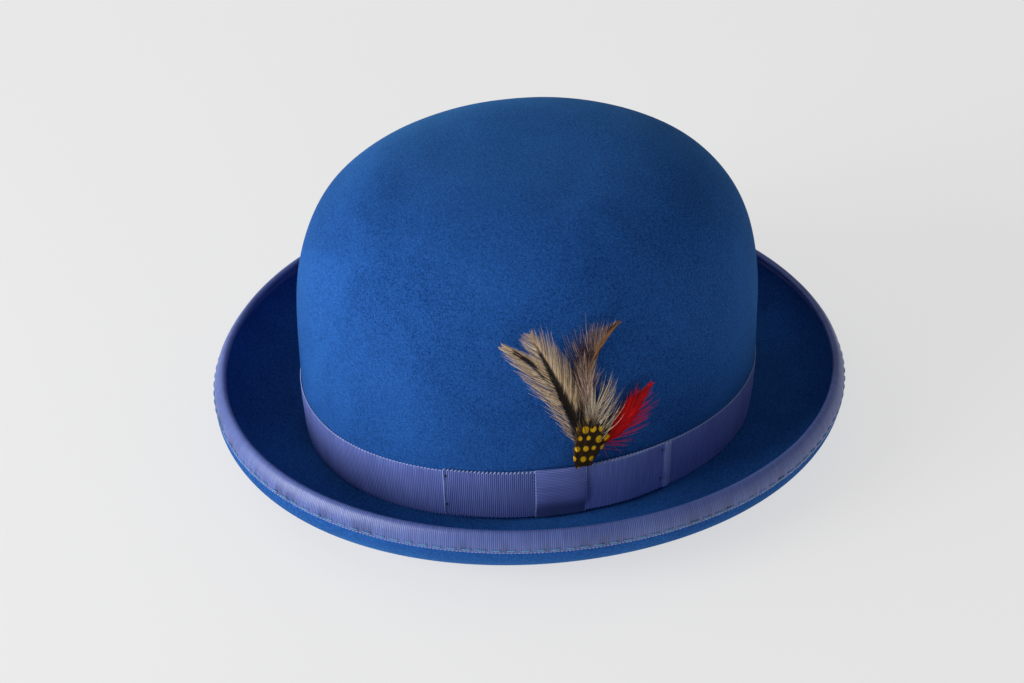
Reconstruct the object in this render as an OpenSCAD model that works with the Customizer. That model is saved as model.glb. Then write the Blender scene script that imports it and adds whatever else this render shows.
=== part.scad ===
// Bowler hat: one blocked felt body with a rolled brim, bound in ribbon, with a ribbon band,
// a flat bow on the wearer's left, a lift-out feather spray, a sweatband and a lining.
// The hat stands on its brim: +Z is up, the front is -Y and the bow side is +X.
// Angles run round the crown from +X (bow side, 0) over +Y (back, 90).

/* [Crown] */
// Outer length of the crown at its foot, front to back
crown_length = 204; // [190:1:216]
// Outer width of the crown at its foot, side to side
crown_width = 176; // [164:1:188]
// Height of the crown's top above its foot
crown_height = 131; // [112:1:140]
// Height of the nearly upright wall below the dome
wall_height = 33; // [28:1:45]
// Squareness of the dome: 2 is an ellipsoid, more is fuller at the shoulder
dome_power = 3.45; // [2.4:0.05:4]
// Growth of the wall from its foot to its top, as a share of its size
wall_flare = 0.016; // [0:0.002:0.03]
// Thickness of the felt
felt_thick = 2.2; // [1.8:0.1:2.6]

/* [Brim] */
// Width of the brim measured along its surface
brim_width = 58.2; // [52:0.2:62]
// How late the brim curls: more keeps it flat for longer
curl_power = 2.4; // [2:0.1:3]
// Slope of the brim where it leaves the crown, in degrees
start_slope = -3.2; // [-6:0.2:0]
// Extra downward slope of that start at the back, and upward at the front
start_tip = 3.6; // [0:0.2:5]
// Slope of the brim at its rim, in degrees, where 90 is upright
rim_slope = 129; // [100:1:135]
// Extra roll of the rim at the front and the back, taken off at the sides
rim_roll = 6; // [0:0.5:10]
// Half the height by which the brim's foot rises from front and back to the sides
side_lift = 2.65; // [0:0.05:5]
// Height by which the back of the brim's foot is above the middle
back_lift = 0.65; // [0:0.05:1.5]

/* [Ribbon] */
// Width of the ribbon of the band and the bow
band_width = 25.4; // [22:0.2:28]
// Thickness of the ribbon
ribbon_thick = 0.45; // [0.4:0.05:0.7]
// Height of the band's lower edge above the crown's foot
band_foot = 1.6; // [1.6:0.1:4]
// Width of the rim binding on the outside of the brim
bind_outside = 8; // [6:0.5:12]
// Width of the rim binding on the inside of the brim
bind_inside = 7; // [5:0.5:12]
// Pitch of the stitches in the rim binding
bind_pitch = 6.3; // [5:0.1:9]

/* [Bow] */
// Angle of the front loop's folded end
bow_front = -34; // [-36:0.5:-28]
// Angle of the knot's front edge
knot_front = -12; // [-14:1:-10]
// Angle of the knot's back edge
knot_back = 0; // [-1:1:3]
// Angle of the rear loop's folded end
bow_back = 22.5; // [18:0.5:26]
// Height of the bow's front end above the band's lower edge
rise_front = 1.6; // [0.6:0.1:2]
// Height of the bow's rear end above the band's lower edge
rise_back = 1; // [0.6:0.1:2]
// Thickness of a folded loop
loop_thick = 1; // [0.9:0.1:1.4]
// Gap behind the bow that the tab of the feather spray slides in
pocket_gap = 0.8; // [0.8:0.05:1.2]

/* [Feather spray] */
// Width of the spray's tab
tab_width = 6; // [5:0.5:6.5]
// Depth of the tab inside the pocket
tab_depth = 16; // [10:1:17]
// Thickness of one feather
feather_thick = 0.5; // [0.4:0.1:0.6]
// Lean of the feathers towards the crown, in degrees
feather_lean = 3; // [0:0.5:4]
// Lean of the tab away from the crown, in degrees, which is the line that it slides along
tab_lean = 2.4; // [2:0.1:2.8]

/* [Inside] */
// Height of the sweatband's top edge above the crown's foot
sweat_top = 46; // [35:1:55]
// Thickness of the sweatband's leather
sweat_thick = 1.1; // [0.8:0.1:1.4]
// Thickness of the lining's satin
lining_thick = 0.4; // [0.3:0.1:0.5]
// Pitch of the stitches that hold the sweatband
sweat_pitch = 8; // [6:0.5:10]

/* [Hidden] */

felt_blue = "#1d4fa0";
ribbon_blue = "#4a559e";
leather_tan = "#9a6a42";
satin_grey = "#b9bcc6";

turns = 48;                      // sections round the hat
brim_steps = 20;                 // steps across the brim
step_len = brim_width / brim_steps;
half_felt = felt_thick / 2;
half_a = crown_length / 2;
half_b = crown_width / 2;
gap = 0.1;                       // air between pieces that lie on each other
chord_gap = 0.4;                 // air where flat facets of two pieces don't line up
foot_round = 1;                  // outer round between the wall and the brim
foot_shares = [1, 0.29, 0];      // heights of the sections down that round, as shares of it
mid_wall = 20;                   // height of the row between the wall's foot and top
mid_fade = 0.6;                  // share of the foot's rise left at that row
thread = 0.4;                    // thickness of the sewing thread
dome_angles = [82, 74, 65, 56, 46, 36, 26, 16, 8, 2.5];  // sections down the dome, top to wall
sweat_in = -felt_thick - lining_thick - 3 * gap;  // outer face of the sweatband, from the wall

// Slope of the brim at a share of its width, from the crown (0) to the rim (1)
function slope(th, share) = let (s = start_slope - start_tip * sin(th))
    s + (rim_slope - rim_roll * cos(2 * th) - s) * share ^ curl_power;
// Middle line of the brim at one angle: a list of [reach from the crown, height, slope]
function brim_line(th) = [
    for (i = 0, p = [0, 0]; i <= brim_steps;
        p = p + step_len * [cos(slope(th, (i + 0.5) / brim_steps)),
                            sin(slope(th, (i + 0.5) / brim_steps))],
        i = i + 1)
    [p[0], p[1], slope(th, i / brim_steps)]
];
// Rise of the brim's foot at one angle
function foot_lift(th) = side_lift * cos(2 * th) + back_lift * sin(th);
// Height of the crown's foot, so that the lowest felt touches Z = 0
foot_z = half_felt - min([
    for (k = [0:turns - 1]) for (p = brim_line(k * 360 / turns)) p[1] + foot_lift(k * 360 / turns)
]);

// Level direction straight out of the crown's foot
function outward(th) = let (v = [cos(th) / half_b, sin(th) / half_a]) v / norm(v);
// Point at a reach beyond the crown's foot and a height above it
function brim_pt(th, reach, z) = let (
    n = outward(th),
    p = [half_b * cos(th), half_a * sin(th)] + reach * n
) [p[0], p[1], z + foot_lift(th) + foot_z];
// Point on the brim, "off" above its middle line, step i of brim_steps
function brim_face(th, line, i, off) = let (q = line[i])
    brim_pt(th, q[0] - off * sin(q[2]), q[1] + off * cos(q[2]));
// Growth of the wall at a height
function flare(z) = 1 + wall_flare * sin(90 * min(max(z / wall_height, 0), 1));
// Point on the wall, "off" outside its outer face
function wall_pt(th, z, off, lift = 0) =
    [(half_b * flare(z) + off) * cos(th), (half_a * flare(z) + off) * sin(th), z + lift + foot_z];
// Point on the dome at a dome angle, 0 at the wall and 90 at the top
function dome_pt(th, phi, off) = let (
    rho = cos(phi) ^ (2 / dome_power),
    z = wall_height + (crown_height + off - wall_height) * sin(phi) ^ (2 / dome_power),
    g = 1 + wall_flare
) [(half_b * g + off) * rho * cos(th), (half_a * g + off) * rho * sin(th), z + foot_z];

// A solid from closed sections. A full ring joins its last section to its first; a strip has
// its two end sections as faces.
module sweep(rows, ring = true) {
    n = len(rows);
    m = len(rows[0]);
    sides = [
        for (i = [0:(ring ? n - 1 : n - 2)], j = [0:m - 1])
            let (a = i * m + j, b = i * m + (j + 1) % m, k = ((i + 1) % n) * m)
                each [[a, k + (j + 1) % m, b], [a, k + j, k + (j + 1) % m]]
    ];
    ends = ring ? [] : [[for (j = [0:m - 1]) j], [for (j = [m - 1:-1:0]) (n - 1) * m + j]];
    polyhedron(points = [for (r = rows) each r], faces = concat(sides, ends), convexity = 8);
}
// A shell round the upright axis: open sections joined in a ring, closed at the top by one
// point outside and one inside
module dome_sweep(rows, top_out, top_in) {
    n = len(rows);
    m = len(rows[0]);
    pts = concat([for (r = rows) each r], [top_out, top_in]);
    sides = [
        for (i = [0:n - 1], j = [0:m - 2])
            let (a = i * m + j, b = ((i + 1) % n) * m + j)
                each [[a, b + 1, a + 1], [a, b, b + 1]]
    ];
    tops = [for (i = [0:n - 1]) let (k = (i + 1) % n)
        each [[n * m, k * m, i * m], [n * m + 1, i * m + m - 1, k * m + m - 1]]];
    polyhedron(points = pts, faces = concat(sides, tops), convexity = 8);
}
// Angle of one of the sections round the hat
function round_turn(i) = i * 360 / turns;
function reversed(list) = [for (i = [len(list) - 1:-1:0]) list[i]];

// The felt body: crown and brim blocked from one piece. Its section runs from the top down the
// outside, out over the brim, round the rim and back up the inside.
foot_in = [0.2, -1.4];           // reach of the lower inner edge, then of the round above it
foot_in_top = 2.4;               // height at which the inside of the wall begins
function felt_section(th) = let (line = brim_line(th), lift = foot_lift(th)) concat(
    [for (phi = dome_angles) dome_pt(th, phi, 0)],
    [wall_pt(th, wall_height, 0), wall_pt(th, mid_wall, 0, lift * mid_fade)],
    [for (d = foot_shares)
        brim_pt(th, foot_round * (1 - sqrt(1 - (1 - d) ^ 2)), half_felt + foot_round * d)],
    [for (i = [1:brim_steps]) brim_face(th, line, i, half_felt)],
    [brim_pt(th, line[brim_steps][0] + half_felt * cos(line[brim_steps][2]),
        line[brim_steps][1] + half_felt * sin(line[brim_steps][2]))],
    [for (i = [brim_steps:-1:1]) brim_face(th, line, i, -half_felt)],
    [brim_pt(th, foot_in[0], -half_felt), brim_pt(th, foot_in[1], 0)],
    [wall_pt(th, foot_in_top, -felt_thick, lift)],
    [wall_pt(th, mid_wall, -felt_thick, lift * mid_fade), wall_pt(th, wall_height, -felt_thick)],
    [for (phi = reversed(dome_angles)) dome_pt(th, phi, -felt_thick)]
);
module felt_body() {
    color(felt_blue)
        dome_sweep([for (i = [0:turns - 1]) felt_section(round_turn(i))],
            dome_pt(0, 90, 0), dome_pt(0, 90, -felt_thick));
}

// Entry of the brim's middle line at a number of steps that needn't be whole
function line_at(line, s) = let (i = min(floor(s), brim_steps - 1))
    line[i] + (s - i) * (line[i + 1] - line[i]);
// Ribbon folded over the rim: a thin channel round the edge of the brim, in step with the felt.
// Its section goes round the fold once at each face of the ribbon.
fold_turns = [45, 0, -45];       // directions of the points round the fold, from the rim's slope
function bind_side(th, line, from, off) = let (s = (brim_width - from) / step_len) [
    for (at = concat([s], [for (i = [ceil(s):brim_steps]) if (i > s) i])) let (p = line_at(line, at))
    brim_pt(th, p[0] - off * sin(p[2]), p[1] + off * cos(p[2]))
];
function bind_edge(th, line, off) = [
    for (d = fold_turns) let (q = line[brim_steps])
    brim_pt(th, q[0] + off * cos(q[2] + d), q[1] + off * sin(q[2] + d))
];
function bind_shell(th, line, off) = concat(
    bind_side(th, line, bind_inside, off),
    bind_edge(th, line, off),
    reversed(bind_side(th, line, bind_outside, -off)));
function bind_section(th) = let (line = brim_line(th), in = half_felt + gap) concat(
    bind_shell(th, line, in + ribbon_thick), reversed(bind_shell(th, line, in)));
module brim_binding() {
    color(ribbon_blue)
        sweep([for (i = [0:turns - 1]) bind_section(round_turn(i))]);
}

// Stitches of the binding, on the outside near the ribbon's lower edge
stitch_inset = 1.4;              // distance of the stitches above that edge
stitch_share = 0.58;             // visible share of one stitch's pitch
sew_step = brim_steps - 2;       // step of the brim near which they run
// Point where a stitch of the binding lies
function stitch_pt(th) = let (
    p = line_at(brim_line(th), (brim_width - bind_outside + stitch_inset) / step_len),
    off = -(half_felt + gap + ribbon_thick + thread / 2 + gap)
) brim_pt(th, p[0] - off * sin(p[2]), p[1] + off * cos(p[2]));
// Reach of the sewing line from the crown, from which the number of stitches follows
bind_reach = brim_line(0)[sew_step][0];
bind_count = round(PI * (half_a + half_b + 2 * bind_reach) / bind_pitch);
// One straight stitch of thread from a point to another
module bar(p, q) {
    d = q - p;
    translate(p)
        rotate([0, acos(d[2] / norm(d)), atan2(d[1], d[0])])
            translate([-thread / 2, -thread / 2, 0])
                cube([thread, thread, norm(d)]);
}
module binding_stitches() {
    pitch_angle = 360 / bind_count;
    color("#5f8fc8")
        for (i = [0:bind_count - 1])
            bar(stitch_pt(i * pitch_angle), stitch_pt((i + stitch_share) * pitch_angle));
}

// Ribbon band round the foot of the crown
band_gap = 0.15;                 // air between the band and the felt
band_rows = [0, 0.5, 1];         // rows up a strip, as shares of its height
// Section of an upright strip from a height to another and from a distance off the wall to another
function strip_section(th, z0, z1, d0, d1) = concat(
    [for (t = band_rows) wall_pt(th, z0 + t * (z1 - z0), d1, foot_lift(th))],
    [for (t = reversed(band_rows)) wall_pt(th, z0 + t * (z1 - z0), d0, foot_lift(th))]);
module hat_band() {
    color(ribbon_blue)
        sweep([for (i = [0:turns - 1]) reversed(strip_section(round_turn(i),
            band_foot, band_foot + band_width, band_gap, band_gap + ribbon_thick))]);
}

// The bow's two loops: flat folded strips that follow the band
bow_rest = band_gap + ribbon_thick + gap;  // distance of their backs from the wall at the ends
pocket_to = 9;                   // angle up to which the pocket is fully open
bow_split = (knot_front + knot_back) / 2;  // angle at which they meet, under the knot
split_half = 0.1;                // half the angle between their inner ends
loop_step = 1.5;                 // largest angle between two sections of the bow
// Smooth step from 0 to 1
function ease(t) = let (c = min(max(t, 0), 1)) c * c * (3 - 2 * c);
// Height of the bow's lower edge above the crown's foot
function bow_foot(th) = band_foot + rise_front
    + (rise_back - rise_front) * (th - bow_front) / (bow_back - bow_front);
// Distance of the bow's back face from the wall: it lies on the band at the folded ends and
// stands off it in the middle, where the pocket is
function bow_off(th) = bow_rest + pocket_gap * (th < knot_front
    ? ease((th - bow_front) / (knot_front - bow_front))
    : ease((bow_back - th) / (bow_back - pocket_to)));
module loop(from, to) {
    count = ceil((to - from) / loop_step);
    color(ribbon_blue)
        sweep([for (i = [0:count]) let (th = from + i * (to - from) / count) reversed(
            strip_section(th, bow_foot(th), bow_foot(th) + band_width, bow_off(th),
                bow_off(th) + loop_thick))], ring = false);
}
module bow_front_loop() loop(bow_front, bow_split - split_half);
module bow_rear_loop() loop(bow_split + split_half, bow_back);

// The knot: a wrap over the middle of the bow, turned in along its upper and lower edges
knot_lap = 0.3;                  // how far the wrap stands past the ribbon's edges
knot_round = 0.2;                // how far those edges are drawn in
function knot_section(th) = let (
    z0 = bow_foot(th) - gap, z1 = bow_foot(th) + band_width + gap, mid = (z0 + z1) / 2,
    back = bow_off(th) + knot_round, face = bow_off(th) + loop_thick + 2 * gap,
    out = face + ribbon_thick
) [
    for (q = [
        [z0 - knot_lap, back], [z0 - knot_lap, out - knot_round], [z0, out], [mid, out],
        [z1, out], [z1 + knot_lap, out - knot_round], [z1 + knot_lap, back],
        [z1, back], [z1, face], [mid, face], [z0, face], [z0, back]
    ]) wall_pt(th, q[0], q[1], foot_lift(th))
];
module bow_knot() {
    count = ceil((knot_back - knot_front) / loop_step);
    color("#414c96")
        sweep([for (i = [0:count])
            reversed(knot_section(knot_front + i * (knot_back - knot_front) / count))],
            ring = false);
}

// Thread tacks that hold the folded ends of the bow, two at each end
tack_heights = [5.4, 21.4];      // heights above the bow's lower edge
tack_length = 1.2;               // length of one tack, upright
tack_inset = [0.7, 2.8];         // angles of the tacks inside the front end and the rear end
tack_angles = [bow_front + tack_inset[0], bow_back - tack_inset[1]];
module bow_tacks() {
    color("#1d2248")
        for (th = tack_angles, h = tack_heights) {
            off = bow_off(th) + loop_thick + thread / 2 + gap;
            bar(wall_pt(th, bow_foot(th) + h, off, foot_lift(th)),
                wall_pt(th, bow_foot(th) + h + tack_length, off, foot_lift(th)));
        }
}

// Sweatband: a leather strip that stands inside the crown, with its reed below its lower edge
sweat_foot = 2.6;                // height of its lower edge above the crown's foot
// Section of a strip inside the crown whose foot follows the brim and whose top is level
function liner_section(th, z0, z1, d0, d1) = let (lift = foot_lift(th)) concat(
    [for (t = band_rows) wall_pt(th, z0 + t * (z1 - z0), d1, lift * (1 - t))],
    [for (t = reversed(band_rows)) wall_pt(th, z0 + t * (z1 - z0), d0, lift * (1 - t))]);
module sweatband() {
    color(leather_tan)
        sweep([for (i = [0:turns - 1]) reversed(liner_section(round_turn(i), sweat_foot, sweat_top,
            sweat_in - sweat_thick, sweat_in))]);
}
cord_sides = 6;                  // sides of the reed's and the piping's section
// Section of a cord of radius r round a centre, in the upright plane across the cord
function cord_section(c, th, r) = let (n = outward(th)) [
    for (k = [0:cord_sides - 1]) let (turn = k * 360 / cord_sides)
    c + r * [n[0] * cos(turn), n[1] * cos(turn), sin(turn)]
];
reed_r = 0.9;                    // radius of the reed
module sweatband_reed() {
    color("#d8cfb4")
        sweep([for (i = [0:turns - 1]) let (th = round_turn(i))
            reversed(cord_section(wall_pt(th, sweat_foot - reed_r - gap,
                sweat_in - sweat_thick / 2, foot_lift(th)), th, reed_r))]);
}
// Tape that holds the reed: sewn flat to the felt behind the sweatband
tape_height = 7;                 // height of the tape
module reed_tape() {
    color("#3b3a44")
        sweep([for (i = [0:turns - 1])
            reversed(strip_section(round_turn(i), sweat_foot, sweat_foot + tape_height,
                -felt_thick - 2 * gap - lining_thick, -felt_thick - 2 * gap))]);
}
// Stitches of the sweatband, a row of them on its inner face
sweat_count = round(PI * (half_a + half_b + 2 * sweat_in) / sweat_pitch);
sweat_stitch_z = 2;              // height of the stitches above the sweatband's foot
sweat_stitch_share = 0.45;       // visible share of one stitch's pitch
function sweat_stitch_pt(th) = wall_pt(th, sweat_foot + sweat_stitch_z,
    sweat_in - sweat_thick - thread / 2 - chord_gap, foot_lift(th));
module sweatband_stitches() {
    turn = 360 / sweat_count;
    color("#e6dcc4")
        for (i = [0:sweat_count - 1])
            bar(sweat_stitch_pt(i * turn), sweat_stitch_pt((i + sweat_stitch_share) * turn));
}
// Leather tab over the sweatband's join at the back
seam_half = 2.4;                 // half its width, as an angle
seam_thick = 0.6;                // thickness of its leather
seam_foot = 7;                   // height of its lower end above the sweatband's foot
seam_drop = 1;                   // distance of its upper end below the sweatband's top
module sweatband_seam() {
    d = sweat_in - sweat_thick - chord_gap;
    color("#86582f")
        sweep([for (th = [90 - seam_half, 90, 90 + seam_half])
            reversed(liner_section(th, sweat_foot + seam_foot, sweat_top - seam_drop,
                d - seam_thick, d))],
            ring = false);
}
// Small ribbon bow at the foot of that join
rear_bow_z = 6.4;                // height of its middle
rear_bow_loop = 11;              // length of one loop
rear_bow_height = 5;             // height of a loop at its outer end
rear_bow_waist = 2;              // height of a loop beside the knot
rear_bow_point = 1;              // how far a loop's end is drawn out to a blunt point
rear_knot = [3, 4];              // width and height of its knot
rear_bow_off = 2;                // distance from the sweatband, which curves towards its ends
rear_bow_thick = 1.2;            // thickness of its folded ribbon
module sweatband_bow() {
    color("#2b2d3a")
        translate(wall_pt(90, rear_bow_z, sweat_in - sweat_thick - rear_bow_off, foot_lift(90)))
            rotate([90, 0, 0])
                linear_extrude(rear_bow_thick) {
                    square(rear_knot, center = true);
                    for (side = [-1, 1])
                        scale([side, 1])
                            polygon([[0, -rear_bow_waist / 2],
                                [rear_bow_loop, -rear_bow_height / 2],
                                [rear_bow_loop + rear_bow_point, 0],
                                [rear_bow_loop, rear_bow_height / 2],
                                [0, rear_bow_waist / 2]]);
                }
}

// Satin lining: a side strip and an oval tip that meet under a thin piping
seam_angle = 56;                 // dome angle of the piping
side_angles = [for (phi = dome_angles) if (phi <= seam_angle) phi];
tip_angles = [for (phi = dome_angles) if (phi >= seam_angle) phi];
lining_off = -felt_thick - gap;  // outer face of the lining, from the wall
lining_foot = 12;                // height of the side strip's lower edge
function lining_rows(th, angles, off) = [for (phi = angles) dome_pt(th, phi, off)];
// Part of the side strip's section along the wall, below the dome
function lining_wall(th, off) = [
    wall_pt(th, wall_height, off), wall_pt(th, mid_wall, off, foot_lift(th) * mid_fade),
    wall_pt(th, lining_foot, off, foot_lift(th) * mid_fade)
];
module lining_side() {
    in = lining_off - lining_thick;
    color(satin_grey)
        sweep([for (i = [0:turns - 1]) let (th = round_turn(i)) concat(
            lining_rows(th, side_angles, lining_off), lining_wall(th, lining_off),
            reversed(lining_wall(th, in)), reversed(lining_rows(th, side_angles, in)))]);
}
module lining_tip() {
    in = lining_off - lining_thick;
    color(satin_grey)
        dome_sweep([for (i = [0:turns - 1]) let (th = round_turn(i)) concat(
            lining_rows(th, tip_angles, lining_off), reversed(lining_rows(th, tip_angles, in)))],
            dome_pt(0, 90, lining_off), dome_pt(0, 90, in));
}
piping_r = 0.7;                  // radius of the piping
module lining_piping() {
    color("#8f93a3")
        sweep([for (i = [0:turns - 1]) let (th = round_turn(i))
            reversed(cord_section(
                dome_pt(th, seam_angle, lining_off - lining_thick - piping_r - 2 * gap),
                th, piping_r))]);
}

// Feather spray: a tab that slides in the pocket behind the bow, with the feathers bound to it
// Height of the bow's top edge above the ground, beside the tab
edge_z = foot_z + bow_foot(0) + band_width + side_lift;
slide_gap = 0.25;                // air between the tab and the band behind it
tab_x = half_b * (1 + wall_flare) + band_gap + ribbon_thick + slide_gap;  // its inner face
tab_thick = 0.3;                 // thickness of the tab's card
tab_taper = 3;                   // height over which the tab's lower end narrows
spray_y = -0.5;                  // middle of the tab
layer = feather_thick + gap;     // distance from one layer of feathers to the next
whip_low = 1;                    // foot of the thread round the quills, above the bow's top edge
whip_high = 3.4;                 // top of that thread
whip_width = 5.6;                // width of that thread's winding
whip_layers = 4.5;               // its thickness, in layers of feathers
quill_z = whip_high + 5 * gap;   // foot of the feathers above it
// Outline of a feather: shares of its length and the widths there, as shares of the widest
leaf_shares = [0, 0.12, 0.3, 0.5, 0.7, 0.86, 1];
leaf_widths = [0.1, 0.45, 0.85, 1, 0.85, 0.55, 0.06];
// Point beside the line from p to q, at a share of its length and a distance to its side
function side_on(p, q, t, w) = let (d = (q - p) / norm(q - p))
    p + t * (q - p) + w * [-d[1], d[0]];
// A feather as a flat leaf in one of the upright layers beside the crown, given by its foot and
// its tip as [Y, height above the bow's top edge], its half width and the number of its layer
module leaf(foot, tip, half, place) {
    steps = [for (i = [0:len(leaf_shares) - 1]) i];
    left = [for (i = steps) side_on(foot, tip, leaf_shares[i], half * leaf_widths[i])];
    right = [for (i = reversed(steps)) side_on(foot, tip, leaf_shares[i], -half * leaf_widths[i])];
    translate([tab_x + tab_thick + gap + place * layer, 0, edge_z])
        rotate([0, -feather_lean, 0])
            rotate([90, 0, 90])
                linear_extrude(feather_thick)
                    polygon(concat(left, right));
}
// Places a shape in the tab's own leaning frame
module on_tab() {
    translate([tab_x, spray_y, edge_z])
        rotate([0, tab_lean, 0])
            children();
}
module spray_tab() {
    half = tab_width / 2;
    color("#6b5a48")
        on_tab()
            rotate([90, 0, 90])
                linear_extrude(tab_thick)
                    polygon([[-half / 2, -tab_depth], [half / 2, -tab_depth],
                        [half, tab_taper - tab_depth], [half, whip_high],
                        [-half, whip_high], [-half, tab_taper - tab_depth]]);
}
// Thread wound round the feet of the quills, on the face of the tab
module quill_binding() {
    color("#7d1f22")
        on_tab()
            translate([tab_thick + gap, -whip_width / 2, whip_low])
                cube([whip_layers * layer, whip_width, whip_high - whip_low]);
}
module cream_hackle_front() color("#c7ab86") leaf([-2.5, quill_z], [-34, 67], 8, 2);
module cream_hackle_rear() color("#d3bd9c") leaf([-1.5, quill_z], [-24, 74], 10, 1);
module mottled_feather() color("#7c6a5c") leaf([0.5, quill_z], [13, 72], 9, 0);
module grey_hackle() color("#a9a096") leaf([1.5, quill_z], [9.5, 50], 8, 3);
module black_hackle() color("#2a2119") leaf([-1, quill_z], [-4, 32], 9, 4);
module red_hackle() color("#b3121c") leaf([4.5, quill_z], [28.5, 41], 6, 2);
module guinea_feather() color("#3a2c14") leaf([0, 1], [2.5, 33], 10, 5);

felt_body();
brim_binding();
binding_stitches();
hat_band();
bow_front_loop();
bow_rear_loop();
bow_knot();
bow_tacks();
sweatband();
sweatband_reed();
reed_tape();
sweatband_stitches();
sweatband_seam();
sweatband_bow();
lining_side();
lining_tip();
lining_piping();
spray_tab();
quill_binding();
cream_hackle_front();
cream_hackle_rear();
mottled_feather();
grey_hackle();
black_hackle();
red_hackle();
guinea_feather();
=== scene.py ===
"""Bowler hat: felt body, ribbon binding, band and flat bow, feather spray, sweatband and lining.

Shapes are worked out in millimetres in the CAD frame (+Z up, front -Y, bow side +X) and written
to the meshes in metres. Angles run round the crown from +X over +Y, in radians.
"""
import math

import bpy
import numpy as np
from mathutils import Matrix, Vector


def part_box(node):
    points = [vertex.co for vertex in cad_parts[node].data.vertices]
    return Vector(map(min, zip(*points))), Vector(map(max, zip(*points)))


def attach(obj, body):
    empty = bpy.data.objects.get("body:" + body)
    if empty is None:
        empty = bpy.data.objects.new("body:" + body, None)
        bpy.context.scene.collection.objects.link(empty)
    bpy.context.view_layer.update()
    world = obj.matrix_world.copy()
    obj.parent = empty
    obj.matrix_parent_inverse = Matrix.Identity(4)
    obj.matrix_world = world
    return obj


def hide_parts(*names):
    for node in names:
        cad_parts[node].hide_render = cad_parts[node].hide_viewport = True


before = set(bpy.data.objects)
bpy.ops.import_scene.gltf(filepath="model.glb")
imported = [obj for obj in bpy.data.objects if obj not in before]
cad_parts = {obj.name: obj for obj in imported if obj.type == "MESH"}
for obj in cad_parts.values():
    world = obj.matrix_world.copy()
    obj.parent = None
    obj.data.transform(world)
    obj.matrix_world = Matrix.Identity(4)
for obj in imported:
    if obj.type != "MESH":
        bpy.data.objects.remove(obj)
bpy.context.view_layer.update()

MM = 0.001
HAT, SPRAY = "hat", "feather_spray"
TAU = 2 * math.pi


# ---------------------------------------------------------------- small helpers

def box_mm(node):
    """Lowest and highest corner of a CAD node, in millimetres."""
    low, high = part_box(node)
    return np.array(low) / MM, np.array(high) / MM


def ease(t):
    t = np.clip(t, 0, 1)
    return t * t * (3 - 2 * t)


def hump(x, middle, width):
    """A smooth bump: 1 at middle, nearly 0 two widths away."""
    return np.exp(-((x - middle) / width) ** 2)


def unit(v):
    return v / np.linalg.norm(v, axis=-1, keepdims=True)


def join(*parts):
    """Coordinates or other parts, made the same shape and put side by side."""
    return np.stack(np.broadcast_arrays(*parts), -1)


def full_turn(count):
    return np.arange(count) * TAU / count


def arc(*lines):
    """Lengths along a curve, given by its coordinates, from its first point."""
    squares = [np.diff(line) ** 2 for line in lines]
    return np.concatenate([[0], np.cumsum(np.sqrt(sum(squares)))])


def wander(points, scale, seed, octaves=2):
    """A smooth random field in -1..1 at points (mm), from sums of sines along random lines."""
    rng = np.random.default_rng(seed)
    total = np.zeros(points.shape[:-1])
    weight = 1.0
    norm = 0.0
    for _ in range(octaves):
        for _ in range(5):
            line = rng.normal(size=3)
            line *= TAU / scale / np.linalg.norm(line)
            total += weight * np.sin(points @ line + rng.uniform(0, TAU))
        norm += weight * 2.2
        weight *= 0.5
        scale *= 0.5
    return total / norm


# ---------------------------------------------------------------- dimensions

felt_thick = 2.2
half_felt = felt_thick / 2
dome_power = 3.45
wall_height = 33.0
wall_flare = 0.016
brim_width = 58.2
curl_power = 2.4
start_slope, start_tip = -3.2, 3.6   # the brim's slope at the crown, and how much more it falls behind
rim_slope, rim_roll = 129.0, 6.0     # the slope at the rim, in degrees, and how much less at the sides
side_lift, back_lift = 2.65, 0.65    # the brim rises at its sides, and its back stands above its front
rim_ends, rim_sides = 41.5, 43.0     # how far the rim's edge stands out from the crown's foot
lift_from = 4.0                      # height where the wall starts to leave the brim's rise behind
foot_round = 1.0

ribbon_thick = 0.45
band_foot, band_width = 1.6, 25.4
bind_outside, bind_inside = 8.0, 7.0
rib_pitch, rib_height = 0.83, 0.11   # one grosgrain rib
scallop = 0.50                       # how far the ribbon's edge loops stand out
stitch_inset, stitch_length, bind_pitch = 1.4, 3.7, 6.3

bow_front, knot_front, knot_back, bow_back = np.radians([-34.0, -12.0, 0.0, 22.5])
bow_split = (knot_front + knot_back) / 2
split_lap = 0.004                    # the rear loop starts this angle behind the front one
pocket_to = math.radians(9.0)
rise_front, rise_back = 1.6, 1.0     # the bow's ends above the band's lower edge
loop_thick, pocket_gap = 1.0, 0.8
front_tack, rear_tack = np.radians([0.7, 2.8])     # tacks from the folded ends
tack_heights, tack_tall = (5.4, 21.4), 1.3

lining_thick, gap = 0.4, 0.1
sweat_in = -felt_thick - lining_thick - 3 * gap
sweat_foot, sweat_top, sweat_thick, sweat_pitch = 2.6, 46.0, 1.1, 4.0
reed_r, piping_r = 0.9, 0.7
lining_off = -felt_thick - gap
lining_foot = 12.0
seam_phi = math.radians(56.0)        # the seam between the lining's side strip and tip


def flare(z):
    return 1 + wall_flare * np.sin(np.pi / 2 * np.clip(np.asarray(z) / wall_height, 0, 1))


# Sizes and heights that the CAD model settles
band_low, band_high = box_mm("hat_band")
band_gap = 0.15
band_proud = band_gap + ribbon_thick
band_grow = flare(band_foot + band_width)
half_b, half_a = ((band_high - band_low)[:2] / 2 - band_proud) / band_grow
foot_z = band_low[2] - band_foot + side_lift + back_lift
crown_height = box_mm("felt_body")[1][2] - foot_z


# ---------------------------------------------------------------- shape of the hat

def foot_lift(th):
    return side_lift * np.cos(2 * th) + back_lift * np.sin(th)


def wall_lift(th, z):
    """What is left of the foot's rise and fall at a height on the wall."""
    return foot_lift(th) * (1 - ease((z - lift_from) / (wall_height - lift_from)))


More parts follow.
